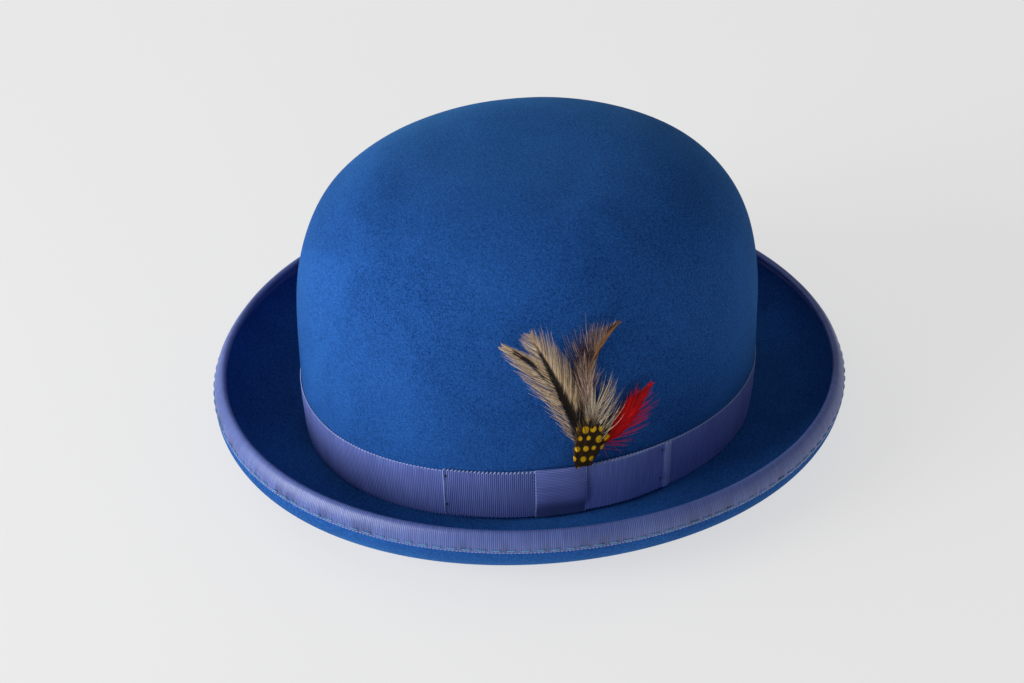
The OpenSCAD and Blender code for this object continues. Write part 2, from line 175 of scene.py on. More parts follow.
def brim_line(th, shares, steps=240):
    """Reach, height and slope of the brim's middle line at each angle and share of its width."""
    mid = (np.arange(steps) + 0.5) / steps
    start = np.radians(start_slope - start_tip * np.sin(th))[:, None]
    rim = np.radians(rim_slope - rim_roll * np.cos(2 * th))[:, None]
    slopes = start + (rim - start) * mid ** curl_power
    shares = np.broadcast_to(shares, (len(th), np.shape(shares)[-1]))
    at = np.clip(shares * steps, 0, steps - 1e-6)
    low = at.astype(int)
    row = np.arange(len(th))[:, None]

    def along(way):
        """The middle line's run in one direction, cos or sin, up to each share."""
        run = np.pad(np.cumsum(way(slopes), 1) * brim_width / steps, ((0, 0), (1, 0)))
        return run[row, low] * (1 - at + low) + run[row, low + 1] * (at - low)

    return along(np.cos), along(np.sin), start + (rim - start) * shares ** curl_power


def brim_point(th, reach, z):
    """Points at a reach beyond the crown's foot and a height above it; th has one row each."""
    x, y = half_b * np.cos(th)[:, None], half_a * np.sin(th)[:, None]
    out = unit(np.stack([np.cos(th) / half_b, np.sin(th) / half_a], -1))
    return join(x + reach * out[:, :1], y + reach * out[:, 1:], z + foot_lift(th)[:, None] + foot_z)


def brim_surface(th, shares, off):
    """Points on the brim, off above its middle line."""
    r, z, s = brim_line(th, shares)
    return brim_point(th, r - off * np.sin(s), z + off * np.cos(s))


def rim_point(th, turn, radius):
    """Points round the rim, radius from the end of the brim's middle line."""
    r, z, s = brim_line(th, np.array([1.0]))
    return brim_point(th, r + radius * np.cos(s + turn), z + radius * np.sin(s + turn))


def wall_point(th, z, off, lift=0.0):
    """Points on the upright wall, off outside its outer face. Arguments broadcast together."""
    grow = flare(z)
    return join((half_b * grow + off) * np.cos(th), (half_a * grow + off) * np.sin(th),
                z + lift + foot_z)


def dome_curve(phi, off):
    """Size (1 at the wall, 0 at the top) and height of the dome's outline."""
    tall = crown_height + off - wall_height
    return np.cos(phi) ** (2 / dome_power), wall_height + tall * np.sin(phi) ** (2 / dome_power)


def dome_profile(phi, shares, off=0.0):
    """Size and height at even shares of the outline's length over the angles phi."""
    rho, z = dome_curve(phi, off)
    run = arc(rho * half_a, z)
    return np.interp(shares * run[-1], run, rho), np.interp(shares * run[-1], run, z)


def dome_point(th, rho, z, off):
    x = (half_b * (1 + wall_flare) + off) * rho * np.cos(th)
    y = (half_a * (1 + wall_flare) + off) * rho * np.sin(th)
    return join(x, y, z + foot_z)


class Around:
    """Turns lengths along an oval into angles and back."""

    def __init__(self, a, b):
        self.th = np.linspace(-np.pi, np.pi, 20001)
        speed = np.hypot(b * np.sin(self.th), a * np.cos(self.th))
        self.run = np.concatenate([[0], np.cumsum((speed[1:] + speed[:-1]) / 2 * np.diff(self.th))])
        self.total = self.run[-1]

    def angle(self, length):
        return np.interp(length, self.run, self.th)

    def length(self, angle):
        return np.interp(angle, self.th, self.run)


crown_round = Around(half_a * band_grow, half_b * band_grow)
rim_round = Around(half_a + rim_ends, half_b + rim_sides)
stitch_count = round(rim_round.total / bind_pitch)
stitch_pitch = rim_round.total / stitch_count


# ---------------------------------------------------------------- mesh helpers

def new_object(name, verts, polys, uv=None, marks=None):
    """A smooth object from points in mm and polygons (arrays of quads and of triangles)."""
    mesh = bpy.data.meshes.new(name)
    mesh.vertices.add(len(verts))
    mesh.vertices.foreach_set("co", (np.asarray(verts, float) * MM).ravel())
    loops = np.concatenate([np.ravel(p) for p in polys])
    sizes = np.concatenate([np.full(len(p), np.shape(p)[1]) for p in polys])
    mesh.loops.add(len(loops))
    mesh.loops.foreach_set("vertex_index", loops.astype(np.int32))
    mesh.polygons.add(len(sizes))
    mesh.polygons.foreach_set("loop_start", (np.cumsum(sizes) - sizes).astype(np.int32))
    mesh.update(calc_edges=True)
    if uv is not None:
        layer = mesh.uv_layers.new(name="UVMap")
        layer.data.foreach_set("uv", np.reshape(uv, (-1, 2))[loops].ravel())
    if marks is not None:
        layer = mesh.color_attributes.new("marks", "FLOAT_COLOR", "POINT")
        four = np.pad(np.reshape(marks, (-1, 3)), ((0, 0), (0, 1)), constant_values=1.0)
        layer.data.foreach_set("color", four.ravel())
    mesh.polygons.foreach_set("use_smooth", np.full(len(sizes), True))
    mesh.validate()
    obj = bpy.data.objects.new(name, mesh)
    bpy.context.scene.collection.objects.link(obj)
    return obj


def make_piece(name, slot, node, verts, polys, uv=None, marks=None, body=HAT, look=None):
    """A piece with its body, finish slot and replaced CAD node. Its material is its slot's own
    unless look names another."""
    obj = new_object(name, verts, polys, uv, marks)
    obj.data.materials.append(M[look or slot])
    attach(obj, body)
    if node:
        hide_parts(node)


def grid_polys(n, m, wrap_n, wrap_m):
    """Quads over an n by m grid of points, each point i * m + j."""
    i = np.arange(n if wrap_n else n - 1)[:, None]
    j = np.arange(m if wrap_m else m - 1)
    i2, j2 = (i + 1) % n, (j + 1) % m
    return join(i * m + j, i2 * m + j, i2 * m + j2, i * m + j2).reshape(-1, 4)


def fan(n, step, first, tip, back=False):
    """Triangles from a ring of n points, step apart from first on, to the point tip."""
    a = first + np.arange(n) * step
    b = np.roll(a, -1)
    return join(b, a, tip) if back else join(a, b, tip)


def sweep(name, slot, node, sections, ring=True, uv=None, flip=False, marks=None):
    """A closed solid from closed sections (n, m, 3); a ring joins up, a strip has flat ends."""
    n, m = sections.shape[:2]
    polys = [grid_polys(n, m, ring, True)]
    if not ring:
        cap = np.arange(m)[None]
        polys += [cap, cap[:, ::-1] + (n - 1) * m]
    if flip:
        polys = [p[:, ::-1] for p in polys]
    make_piece(name, slot, node, sections.reshape(-1, 3), polys, uv, marks)


def uv_grid(run, across):
    """UV in metres over a grid, from places along and across it in mm."""
    return join(run[:, None], across) * MM


def tube(points, radius, sides=8, close=False):
    """Points and quads of a round tube along a line of points; radius may vary along it."""
    if close:
        along = unit(np.roll(points, -1, 0) - np.roll(points, 1, 0))
    else:
        along = unit(np.gradient(points, axis=0))
    # The tube's sides are measured from a direction that its line never quite takes
    side = unit(np.cross(along, np.array([0.0, 0.0, 1.0]) + 0.17 * along[:, [1, 2, 0]]))
    up = np.cross(side, along)
    a = full_turn(sides)[:, None]
    ring = side[:, None] * np.cos(a) + up[:, None] * np.sin(a)
    verts = points[:, None] + ring * np.broadcast_to(radius, len(points))[:, None, None]
    return verts.reshape(-1, 3), grid_polys(len(points), sides, close, True)


class Bundle:
    """Collects many small tubes, such as threads and barbs, into one piece."""

    def __init__(self):
        self.verts, self.quads, self.tris, self.marks = [], [], [], []
        self.count = 0

    def rod(self, points, radius, sides=6, marks=None):
        """A tube with closed, pointed ends."""
        verts, quads = tube(points, radius, sides)
        n = len(verts)
        caps = [fan(sides, 1, 0, n), fan(sides, 1, n - sides, n + 1, True)]
        self.verts += [verts, points[[0, -1]]]
        self.quads.append(quads + self.count)
        self.tris.append(np.concatenate(caps) + self.count)
        self.count += n + 2
        if marks is not None:
            self.marks += [np.repeat(marks, sides, 0), marks[[0, -1]]]

    def build(self, name, slot, node, **more):
        polys = [np.concatenate(self.quads), np.concatenate(self.tris)]
        marks = np.concatenate(self.marks) if self.marks else None
        make_piece(name, slot, node, np.concatenate(self.verts), polys, marks=marks, **more)


# ---------------------------------------------------------------- materials

class Shade:
    """A Principled material and short calls to build its nodes."""

    def __init__(self, name, rough, spec, sheen=0.0, sheen_rough=0.4, sheen_tint=(1, 1, 1)):
        self.mat = bpy.data.materials.new(name)
        self.mat.use_nodes = True
        self.tree = self.mat.node_tree
        self.bsdf = self.tree.nodes["Principled BSDF"]
        self.set(Roughness=rough, Specular_IOR_Level=spec, Sheen_Weight=sheen,
                 Sheen_Roughness=sheen_rough, Sheen_Tint=sheen_tint)

    def set(self, **sockets):
        for key, value in sockets.items():
            self.feed(self.bsdf.inputs[key.replace("_", " ")], value)

    def node(self, kind, **sockets):
        n = self.tree.nodes.new("ShaderNode" + kind)
        for key, value in sockets.items():
            self.feed(n.inputs[key.replace("_", " ")], value)
        return n

    def feed(self, socket, value):
        if isinstance(value, bpy.types.NodeSocket):
            self.tree.links.new(value, socket)
        elif socket.type == "RGBA":
            socket.default_value = (*value, 1)
        else:
            socket.default_value = value

    def coords(self, kind="Object", scale=(1, 1, 1)):
        source = self.node("TexCoord").outputs[kind]
        return self.node("Mapping", Vector=source, Scale=scale).outputs[0]

    def noise(self, vector, scale, detail=2.0, rough=0.5, distort=0.0):
        n = self.node("TexNoise", Vector=vector, Scale=scale, Detail=detail,
                      Roughness=rough, Distortion=distort)
        return n.outputs["Fac"]

    def weigh(self, *terms):
        """The sum of values, each times its weight, from (value, weight) pairs."""
        total = 0.0
        for value, weight in terms[::-1]:
            n = self.node("Math")
            n.operation = "MULTIPLY_ADD"
            for socket, fed in zip(n.inputs, (value, weight, total)):
                self.feed(socket, fed)
            total = n.outputs[0]
        return total

    def spread(self, value, low, high, to_low=0.0, to_high=1.0):
        return self.node("MapRange", Value=value, From_Min=low, From_Max=high,
                         To_Min=to_low, To_Max=to_high).outputs[0]

    def mix(self, share, a, b):
        n = self.tree.nodes.new("ShaderNodeMix")
        n.data_type = "RGBA"
        for place, value in ((0, share), (6, a), (7, b)):
            self.feed(n.inputs[place], value)
        return n.outputs[2]

    def marks(self):
        n = self.node("Attribute")
        n.attribute_name = "marks"
        return self.node("SeparateColor", Color=n.outputs["Color"]).outputs[:3]

    def finish(self, colour, height, strength, distance):
        """Sets colour and bump, and hands over the material."""
        bump = self.node("Bump", Height=height, Strength=strength, Distance=distance)
        self.set(Base_Color=colour, Normal=bump.outputs[0])
        return self.mat


def shaded(colour, share):
    return tuple(share * c for c in colour)


def felt_material():
    """Wool felt: matted nap with fine speckle, small flecks and a cloudy drift of tone."""
    s = Shade("wool_felt", 0.92, 0.06, sheen=0.32, sheen_rough=0.30, sheen_tint=(0.14, 0.56, 1.0))
    where = s.coords()
    nap = s.noise(where, 2100, 4.0, 0.75, 0.6)
    fleck = s.noise(where, 850, 3.0, 0.6, 0.4)
    cloud = s.noise(where, 17, 3.0, 0.55, 0.8)
    tone = s.weigh((s.spread(nap, 0.40, 0.60), 0.54), (s.spread(fleck, 0.37, 0.63), 0.24),
                   (s.spread(cloud, 0.35, 0.65), 0.22))
    colour = s.mix(tone, (0.001, 0.020, 0.115), (0.028, 0.145, 0.515))
    return s.finish(colour, s.weigh((nap, 0.7), (fleck, 0.6)), 0.8, 0.0005)


def ribbon_material(name, deep, light, rough=0.5, spec=0.3, groove=0.5):
    """Grosgrain: ribs with painted shade in their grooves, fine warp threads, pale loops along the
    edges, painted shade where marks' blue is 1 and a painted highlight on the bow loops' folded ends."""
    s = Shade(name, rough, spec, sheen=0.05, sheen_rough=0.35, sheen_tint=(0.7, 0.78, 1.0))
    warp = s.noise(s.coords("UV", (900, 6500, 1)), 1.0, 2.0, 0.6)
    rib = s.noise(s.coords("UV", (1 / (rib_pitch * MM), 60, 1)), 1.0, 1.0, 0.5)
    drift = s.noise(s.coords("Object", (40, 40, 40)), 1.0, 2.0, 0.5)
    tone = s.weigh((s.spread(warp, 0.3, 0.7), 0.35), (s.spread(rib, 0.3, 0.7), 0.4),
                   (s.spread(drift, 0.3, 0.7), 0.25))
    crest, edge, painted_shade = s.marks()
    # Painted shade: towards deep where marks' blue is 1, and in the grooves below each rib's crest by
    # groove
    face = s.mix(painted_shade, s.mix(tone, deep, light), shaded(deep, 0.3))
    face = s.mix(s.spread(crest, 0.35, 0.95), shaded(deep, 0.8 * groove), face)
    pale = tuple(min(1.0, 1.5 * c + 0.15) for c in light)
    return s.finish(s.mix(s.spread(edge, 0.45, 1.0), face, pale), warp, 0.35, 0.00012)


def thread_material(name, colour):
    """Twisted thread with a little fluff."""
    s = Shade(name, 0.6, 0.3, sheen=0.2)
    fine = s.noise(s.coords(), 4200, 2.0, 0.6)
    return s.finish(s.mix(s.spread(fine, 0.3, 0.7), shaded(colour, 0.55), colour), fine, 0.4, 0.0001)


def leather_material(name, dark, light):
    """Smooth sweatband leather with fine grain and a few darker patches of handling."""
    s = Shade(name, 0.5, 0.4)
    where = s.coords()
    cells = s.node("TexVoronoi", Vector=where, Scale=1300.0)
    cells.feature = "DISTANCE_TO_EDGE"
    grain = s.spread(cells.outputs["Distance"], 0.0, 0.25)
    drift = s.noise(where, 30, 4.0, 0.6)
    s.set(Roughness=s.spread(s.noise(where, 90, 3.0), 0.3, 0.7, 0.42, 0.62))
    return s.finish(s.mix(s.spread(drift, 0.3, 0.7), dark, light), grain, 0.3, 0.00012)


def satin_material(name, dark, light):
    """Satin with fine threads that change its gloss."""
    s = Shade(name, 0.34, 0.55, sheen=0.3)
    weave = s.noise(s.coords("UV", (300, 9000, 1)), 1.0, 2.0, 0.5)
    drift = s.noise(s.coords(), 22, 3.0, 0.5)
    s.set(Roughness=s.spread(weave, 0.3, 0.7, 0.28, 0.45))
    return s.finish(s.mix(s.weigh((weave, 0.5), (drift, 0.5)), dark, light), weave, 0.2, 0.00008)


def feather_material(name, plain, other, marked, deep):
    """Barbs between two plain tones, and between two marked tones where marks' red is 1."""
    s = Shade(name, 0.6, 0.16, sheen=0.03, sheen_rough=0.5)
    mark, vary, _ = s.marks()
    fine = s.noise(s.coords(), 2600, 2.0, 0.6)
    share = s.weigh((vary, 1.0), (fine, 0.5), (-0.25, 1.0))
    return s.finish(s.mix(mark, s.mix(share, plain, other), s.mix(share, marked, deep)),
                    fine, 0.3, 0.00008)


# One material for each finish slot, and two more: the mottled feather's shaft and the tab
M = {
    "felt": felt_material(),
    "binding_ribbon": ribbon_material("binding_grosgrain", (0.056, 0.088, 0.31),
                                      (0.160, 0.24, 0.66), 0.34, 0.55, 0.8),
    "band_ribbon": ribbon_material("band_grosgrain", (0.102, 0.142, 0.45), (0.245, 0.33, 0.84)),
    # The knot's colours are the band's raised by a tenth to a quarter: painted light
    "knot_ribbon": ribbon_material("knot_grosgrain", (0.130, 0.175, 0.53), (0.29, 0.37, 0.90),
                                   0.36, 0.45, 0.8),
    "tape": ribbon_material("reed_tape", (0.012, 0.012, 0.02), (0.04, 0.04, 0.06)),
    "inner_ribbon": ribbon_material("inner_ribbon", (0.012, 0.014, 0.03), (0.05, 0.055, 0.09)),
    "binding_thread": thread_material("binding_thread", (0.13, 0.42, 0.70)),
    "dark_thread": thread_material("tack_thread", (0.012, 0.012, 0.03)),
    "pale_thread": thread_material("sweatband_thread", (0.62, 0.56, 0.44)),
    "quill_thread": thread_material("quill_thread", (0.05, 0.03, 0.018)),
    "reed": thread_material("reed_cane", (0.62, 0.55, 0.40)),
    "sweat_leather": leather_material("sweatband_leather", (0.17, 0.075, 0.03), (0.34, 0.17, 0.08)),
    "tab": leather_material("tab_leather", (0.045, 0.028, 0.018), (0.11, 0.07, 0.045)),
    "satin": satin_material("lining_satin", (0.22, 0.24, 0.31), (0.44, 0.46, 0.54)),
    "piping": satin_material("piping_satin", (0.11, 0.12, 0.17), (0.24, 0.26, 0.33)),
    "cream_feather": feather_material("cream_barbs", (0.30, 0.150, 0.055), (0.96, 0.79, 0.54),
                                      (0.022, 0.014, 0.008), (0.004, 0.003, 0.002)),
    "brown_feather": feather_material("brown_barbs", (0.14, 0.070, 0.048), (0.88, 0.64, 0.50),
                                      (0.085, 0.040, 0.042), (0.020, 0.011, 0.016)),
    "shaft": feather_material("brown_shaft", (0.20, 0.085, 0.030), (0.50, 0.24, 0.09),
                              (0.10, 0.05, 0.02), (0.05, 0.02, 0.01)),
    "grey_feather": feather_material("grey_barbs", (0.17, 0.095, 0.045), (0.98, 0.86, 0.68),
                                     (0.05, 0.04, 0.03), (0.02, 0.015, 0.01)),
    "dark_feather": feather_material("black_barbs", (0.008, 0.006, 0.004), (0.045, 0.026, 0.014),
                                     (0.40, 0.27, 0.14), (0.25, 0.15, 0.07)),
    "red_feather": feather_material("red_barbs", (0.52, 0.001, 0.003), (0.95, 0.004, 0.008),
                                    (0.12, 0.001, 0.004), (0.05, 0.001, 0.003)),
    "spotted_feather": feather_material("guinea_barbs", (0.012, 0.007, 0.004),
                                        (0.060, 0.028, 0.008), (0.95, 0.60, 0.012),
                                        (0.80, 0.44, 0.006)),
}


# ---------------------------------------------------------------- felt body

def felt_body():
    """Crown and brim as one skin: outside, over the rim, underside and inside."""
    th = full_turn(320)
    col = th[:, None]
    phi = np.linspace(0, np.pi / 2, 4000)
    outer_dome = dome_point(col, *dome_profile(phi, np.linspace(1, 0, 93)[1:]), 0.0)
    z = np.linspace(wall_height, half_felt + foot_round, 14)[1:-1]
    outer_wall = wall_point(col, z, 0.0, wall_lift(col, z))
    bend = np.linspace(0, np.pi / 2, 7)
    foot = brim_point(th, foot_round * (1 - np.cos(bend)),
                      half_felt + foot_round * (1 - np.sin(bend)))
    top = brim_surface(th, np.linspace(1.6 * foot_round / brim_width, 1, 68), half_felt)
    rim = rim_point(th, np.linspace(np.pi / 2, -np.pi / 2, 8)[1:-1], half_felt)
    under = brim_surface(th, np.linspace(1, 1.8 / brim_width, 60), -half_felt)
    bend = np.linspace(0, np.pi / 2, 8)
    lip = brim_point(th, 0.6 - 2.8 * np.sin(bend), -half_felt + 3.4 * (1 - np.cos(bend)))
    z = np.linspace(lift_from, wall_height, 6)
    inner_wall = wall_point(col, z, -felt_thick, wall_lift(col, z))
    inner_dome = dome_point(col, *dome_profile(phi, np.linspace(0, 1, 23)[:-1], -felt_thick),
                            -felt_thick)
    pts = np.concatenate([outer_dome, outer_wall, foot, top, rim, under, lip, inner_wall,
                          inner_dome], 1)
    # Blocking is never perfect: the crown's surface drifts by a few tenths of a millimetre
    crown = pts[:, :outer_dome.shape[1] + outer_wall.shape[1]]
    drift = 0.28 * wander(crown, 70, 3)[..., None]
    crown += drift * unit(crown - [0, 0, 60.0]) * np.clip((crown[..., 2:] - 38) / 20, 0, 1)
    n, m = pts.shape[:2]
    peak = foot_z + crown_height
    caps = [fan(n, m, 0, n * m), fan(n, m, m - 1, n * m + 1, True)]
    make_piece("felt_shell", "felt", "felt_body",
               np.concatenate([pts.reshape(-1, 3), [[0, 0, peak], [0, 0, peak - felt_thick]]]),
               [grid_polys(n, m, True, False)[:, ::-1], np.concatenate(caps)])


felt_body()


# ---------------------------------------------------------------- ribbons

def rib_wave(length, pitch=rib_pitch):
    """Rounded ribs along a ribbon, 0 in the grooves and 1 on the crests, and its edge loops."""
    wave = np.abs(np.sin(np.pi * length / pitch)) ** 0.8
    loops = np.sin(np.pi * length / (2 * pitch)) ** 2
    return wave[:, None], loops[:, None]


def ring_ribs(oval, points):
    """Places along a closed ribbon, points to a rib and an even number of ribs, and its pitch."""
    ribs = round(oval.total / rib_pitch / 2) * 2
    pitch = oval.total / ribs
    return np.arange(ribs * points) / points * pitch, pitch


def ribbon_rows(count):
    """Places across a ribbon, 0 to 1, closer together near its two edges."""
    c = np.cos(np.pi * np.linspace(0, 1, count))
    return 0.5 - 0.5 * c * (0.35 + 0.65 * np.abs(c) ** 0.15)


def back_rows(rows):
    """The three rows of a ribbon's back: its top, middle and low ones."""
    return rows[..., [-1, rows.shape[-1] // 2, 0]]


def ribbon_edge(t, wide, loops, hem=0.7):
    """How clear each row is of the edge loops, 0 to 1, and how far they shift it."""
    soft = np.clip(np.minimum(t, 1 - t) * wide / hem, 0, 1) * np.ones_like(loops)
    return soft, scallop * (loops - 1) * np.sign(t - 0.5) * (1 - soft)


def groove(wave, soft=1.0):
    """Depth of the grooves between the ribs, which run out towards the edges."""
    return rib_height * (1 - wave) * (0.35 + 0.65 * soft)


def ribbon_marks(wave, loops, soft, painted_shade=0.0):
    """Marks of a ribbon's face and its three back rows: red for a rib's crest (painted shade in the
    grooves below it), green for the loops along the edges and blue for painted shade."""
    face = join(wave, (1 - soft) * (0.35 + 0.65 * loops), painted_shade)
    back = [0.75 * face[:, -1:], np.zeros((len(face), 1, 3)), 0.75 * face[:, :1]]
    return np.concatenate([face, *back], 1)


def ribbon_piece(name, slot, node, face, back, run, rows, wide, marks, ring=False, flip=False):
    """A ribbon from its face, its back and the places of its points along and across it."""
    across = np.concatenate([rows, back_rows(rows)]) * wide
    sweep(name, slot, node, np.concatenate([face, back], 1), ring, uv_grid(run, across), flip,
          marks)


def hat_band():
    """The band: upright ribs, with the ribbon's looped edges above and below."""
    run, pitch = ring_ribs(crown_round, 6)
    th = crown_round.angle(run)[:, None]
    wave, loops = rib_wave(run, pitch)
    t = ribbon_rows(13)
    soft, shift = ribbon_edge(t, band_width, loops)
    z = band_foot + t * band_width + shift
    puff = 0.12 * wander(join(run[:, None], z, 0), 46, 11)
    face = wall_point(th, z, band_proud - groove(wave, soft) - 0.1 * (1 - soft) + puff,
                      foot_lift(th))
    back = wall_point(th, band_foot + back_rows(t) * band_width, band_gap, foot_lift(th))
    # Painted shade in the grooves is strongest where the crown turns most and weakest along its
    # flatter sides
    shown = 1 - (1 - wave) * (0.25 + 0.75 * np.abs(np.sin(th)) ** 1.5)
    ribbon_piece("hat_band_ribbon", "band_ribbon", "hat_band", face, back, run, t, band_width,
                 ribbon_marks(shown, loops, soft), ring=True)


hat_band()


def bow_off(th):
    """Height of the bow's back face above the wall."""
    before = ease((th - bow_front) / (knot_front - bow_front))
    after = ease((bow_back - th) / (bow_back - pocket_to))
    return band_proud + 0.1 + pocket_gap * np.where(th < knot_front, before, after)


def bow_foot(th):
    """Height of the bow's lower edge above the crown's foot."""
    share = (th - bow_front) / (bow_back - bow_front)
    return band_foot + rise_front + (rise_back - rise_front) * share


def bow_loop(name, node, fold_at, split_at, tack_in, puff, ribs, seed):
    """One flat loop: the ribbon runs out to its fold, turns and comes back over itself. Tacks
    pull it down tack_in before the fold, and it puffs out beyond them. ribs says how strong the
    painted shade in its grooves is, from 0 to 1."""
    run_fold, run_split = crown_round.length(fold_at), crown_round.length(split_at)
    way = np.sign(run_fold - run_split)
    reach = abs(run_fold - run_split)
    bend_r = (loop_thick - ribbon_thick) / 2
    straight = np.arange(0, reach - bend_r, rib_pitch / 6)
    bend = np.linspace(-np.pi / 2, np.pi / 2, 9)[1:-1]
    flat = np.ones(len(straight))
    out_run = np.concatenate([straight, reach - bend_r + bend_r * np.cos(bend), straight[::-1]])
    level = np.concatenate([-flat, np.sin(bend), flat])
    th = crown_round.angle(run_split + way * out_run)
    # The two layers part a little in the middle of the loop and meet at its ends
    belly = 0.25 * np.sin(np.pi * np.clip(out_run / reach, 0, 1)) ** 2
    from_fold = reach - out_run
    shape = puff * hump(from_fold, 0.45 * tack_in, 0.4 * tack_in) - 0.14 * hump(
        from_fold, tack_in, 0.7)
    middle = bow_off(th) + loop_thick / 2 + level * bend_r + np.where(
        level > 0, belly + shape, 0.3 * shape * (level > -1))
    run = arc(out_run, level * bend_r)
    wave, loops = rib_wave(run)
    t = ribbon_rows(13)
    soft, shift = ribbon_edge(t, band_width, loops)
    z = bow_foot(th)[:, None] + t * band_width + shift
    place = join(run[:, None], z, 0)
    drift = 0.10 * wander(place, 30, seed)
    tangent = unit(np.gradient(np.stack([out_run, middle], -1), axis=0))[:, None]

    def layer(height, z, drift):
        """Points that stand off the ribbon's middle line by height."""
        a = out_run[:, None] + tangent[..., 1] * height
        off = middle[:, None] - tangent[..., 0] * height + drift
        return wall_point(crown_round.angle(run_split + way * a), z, off, foot_lift(th)[:, None])

    half = ribbon_thick / 2
    face = layer(half - groove(wave, soft) - 0.08 * (1 - soft), z, drift)
    back = layer(-half, back_rows(z), back_rows(drift))
    marks = ribbon_marks(1 - ribs * (1 - wave), loops, soft)
    # The strip beyond the tacks stands up to its fold and gets a painted highlight with a ragged edge
    highlight_ragged = 0.5 * wander(place, 2.5, seed + 1)
    painted_fold_highlight = 0.66 * ease(tack_in + highlight_ragged - from_fold[:, None]) * (0.8 + 0.2 * wave)
    marks[:, :len(t), 1] = np.maximum(marks[:, :len(t), 1], painted_fold_highlight)
    ribbon_piece(name, "band_ribbon", node, face, back, run, t, band_width, marks, flip=way > 0)


bow_loop("bow_loop_front", "bow_front_loop", bow_front, bow_split, 1.2, 0.15, 1.0, 21)
bow_loop("bow_loop_rear", "bow_rear_loop", bow_back, bow_split + split_lap, 4.3, 0.5, 0.3, 22)


def bow_knot():
    """The knot: ribbon wrapped upright over the bow, full above its middle and turned in below."""
    run0, run1 = crown_round.length(knot_front), crown_round.length(knot_back)
    wide = run1 - run0
    across = ribbon_rows(40)
    lap = 0.45
    height = band_width + 2 * lap
    front = np.arange(0, height, rib_pitch / 6)
    share = front / height
    base = loop_thick + 0.15
    bulge = 0.75 * np.sin(np.pi * share ** 1.35) ** 0.7 - 0.55 * (1 - ease(share / 0.45))
    turn = np.linspace(0, 1, 9)[1:]
    low, high = [(base + end) * (1 - turn) + 0.1 * turn for end in bulge[[0, -1]]]
    z_path = np.concatenate([(-lap + 0.4 * turn ** 2)[::-1], front - lap,
                             height - lap - 0.4 * turn ** 2])
    off_path = np.concatenate([low[::-1], base + bulge, high])
    run = arc(z_path, off_path)
    wave, loops = rib_wave(run)
    soft, inset = ribbon_edge(across, wide, loops, 0.6)
    # Slight slack folds that run from corner to corner, and sides that drop to the loops
    slack = 0.12 * np.sin(5.5 * across + 0.16 * run[:, None] + 0.6) * soft
    slack -= 0.35 * np.abs(2 * across - 1) ** 4
    rise = off_path[:, None] + slack * np.clip(off_path[:, None] - 0.4, 0, 1)

    def layer(th, height):
        return wall_point(th, bow_foot(th) + z_path[:, None], bow_off(th) + height, foot_lift(th))

    face = layer(crown_round.angle(run0 + across * wide + inset),
                 rise + ribbon_thick - groove(wave, soft))
    back = layer(crown_round.angle(run0 + back_rows(across) * wide), back_rows(rise))
    # Painted shade on the turned-in lower third, fading out upwards
    low_shade = (1 - ease((z_path - 4.0) / 6.5))[:, None]
    # The loops along its rear edge lie flat and show more than those in front
    trim = np.clip(np.minimum(1.8 * across, 1 - across) * wide / 1.1, 0, 1)
    ribbon_piece("bow_knot_wrap", "knot_ribbon", "bow_knot", face, back, run, across, wide,
                 ribbon_marks(wave, loops, trim, low_shade), flip=True)


bow_knot()


def bow_tacks():
    """Two small thread tacks of two strands near each folded end of the bow."""
    threads = Bundle()
    s = np.linspace(0, 1, 7)
    for th in (bow_front + front_tack, bow_back - rear_tack):
        for h in tack_heights:
            for strand in (-0.001, 0.001):
                off = bow_off(th) + loop_thick + 0.25 * np.sin(np.pi * s) + 0.05
                threads.rod(wall_point(th + strand, bow_foot(th) + h + tack_tall * s, off,
                                       foot_lift(th)), 0.17)
    threads.build("bow_tack_threads", "dark_thread", "bow_tacks")


bow_tacks()


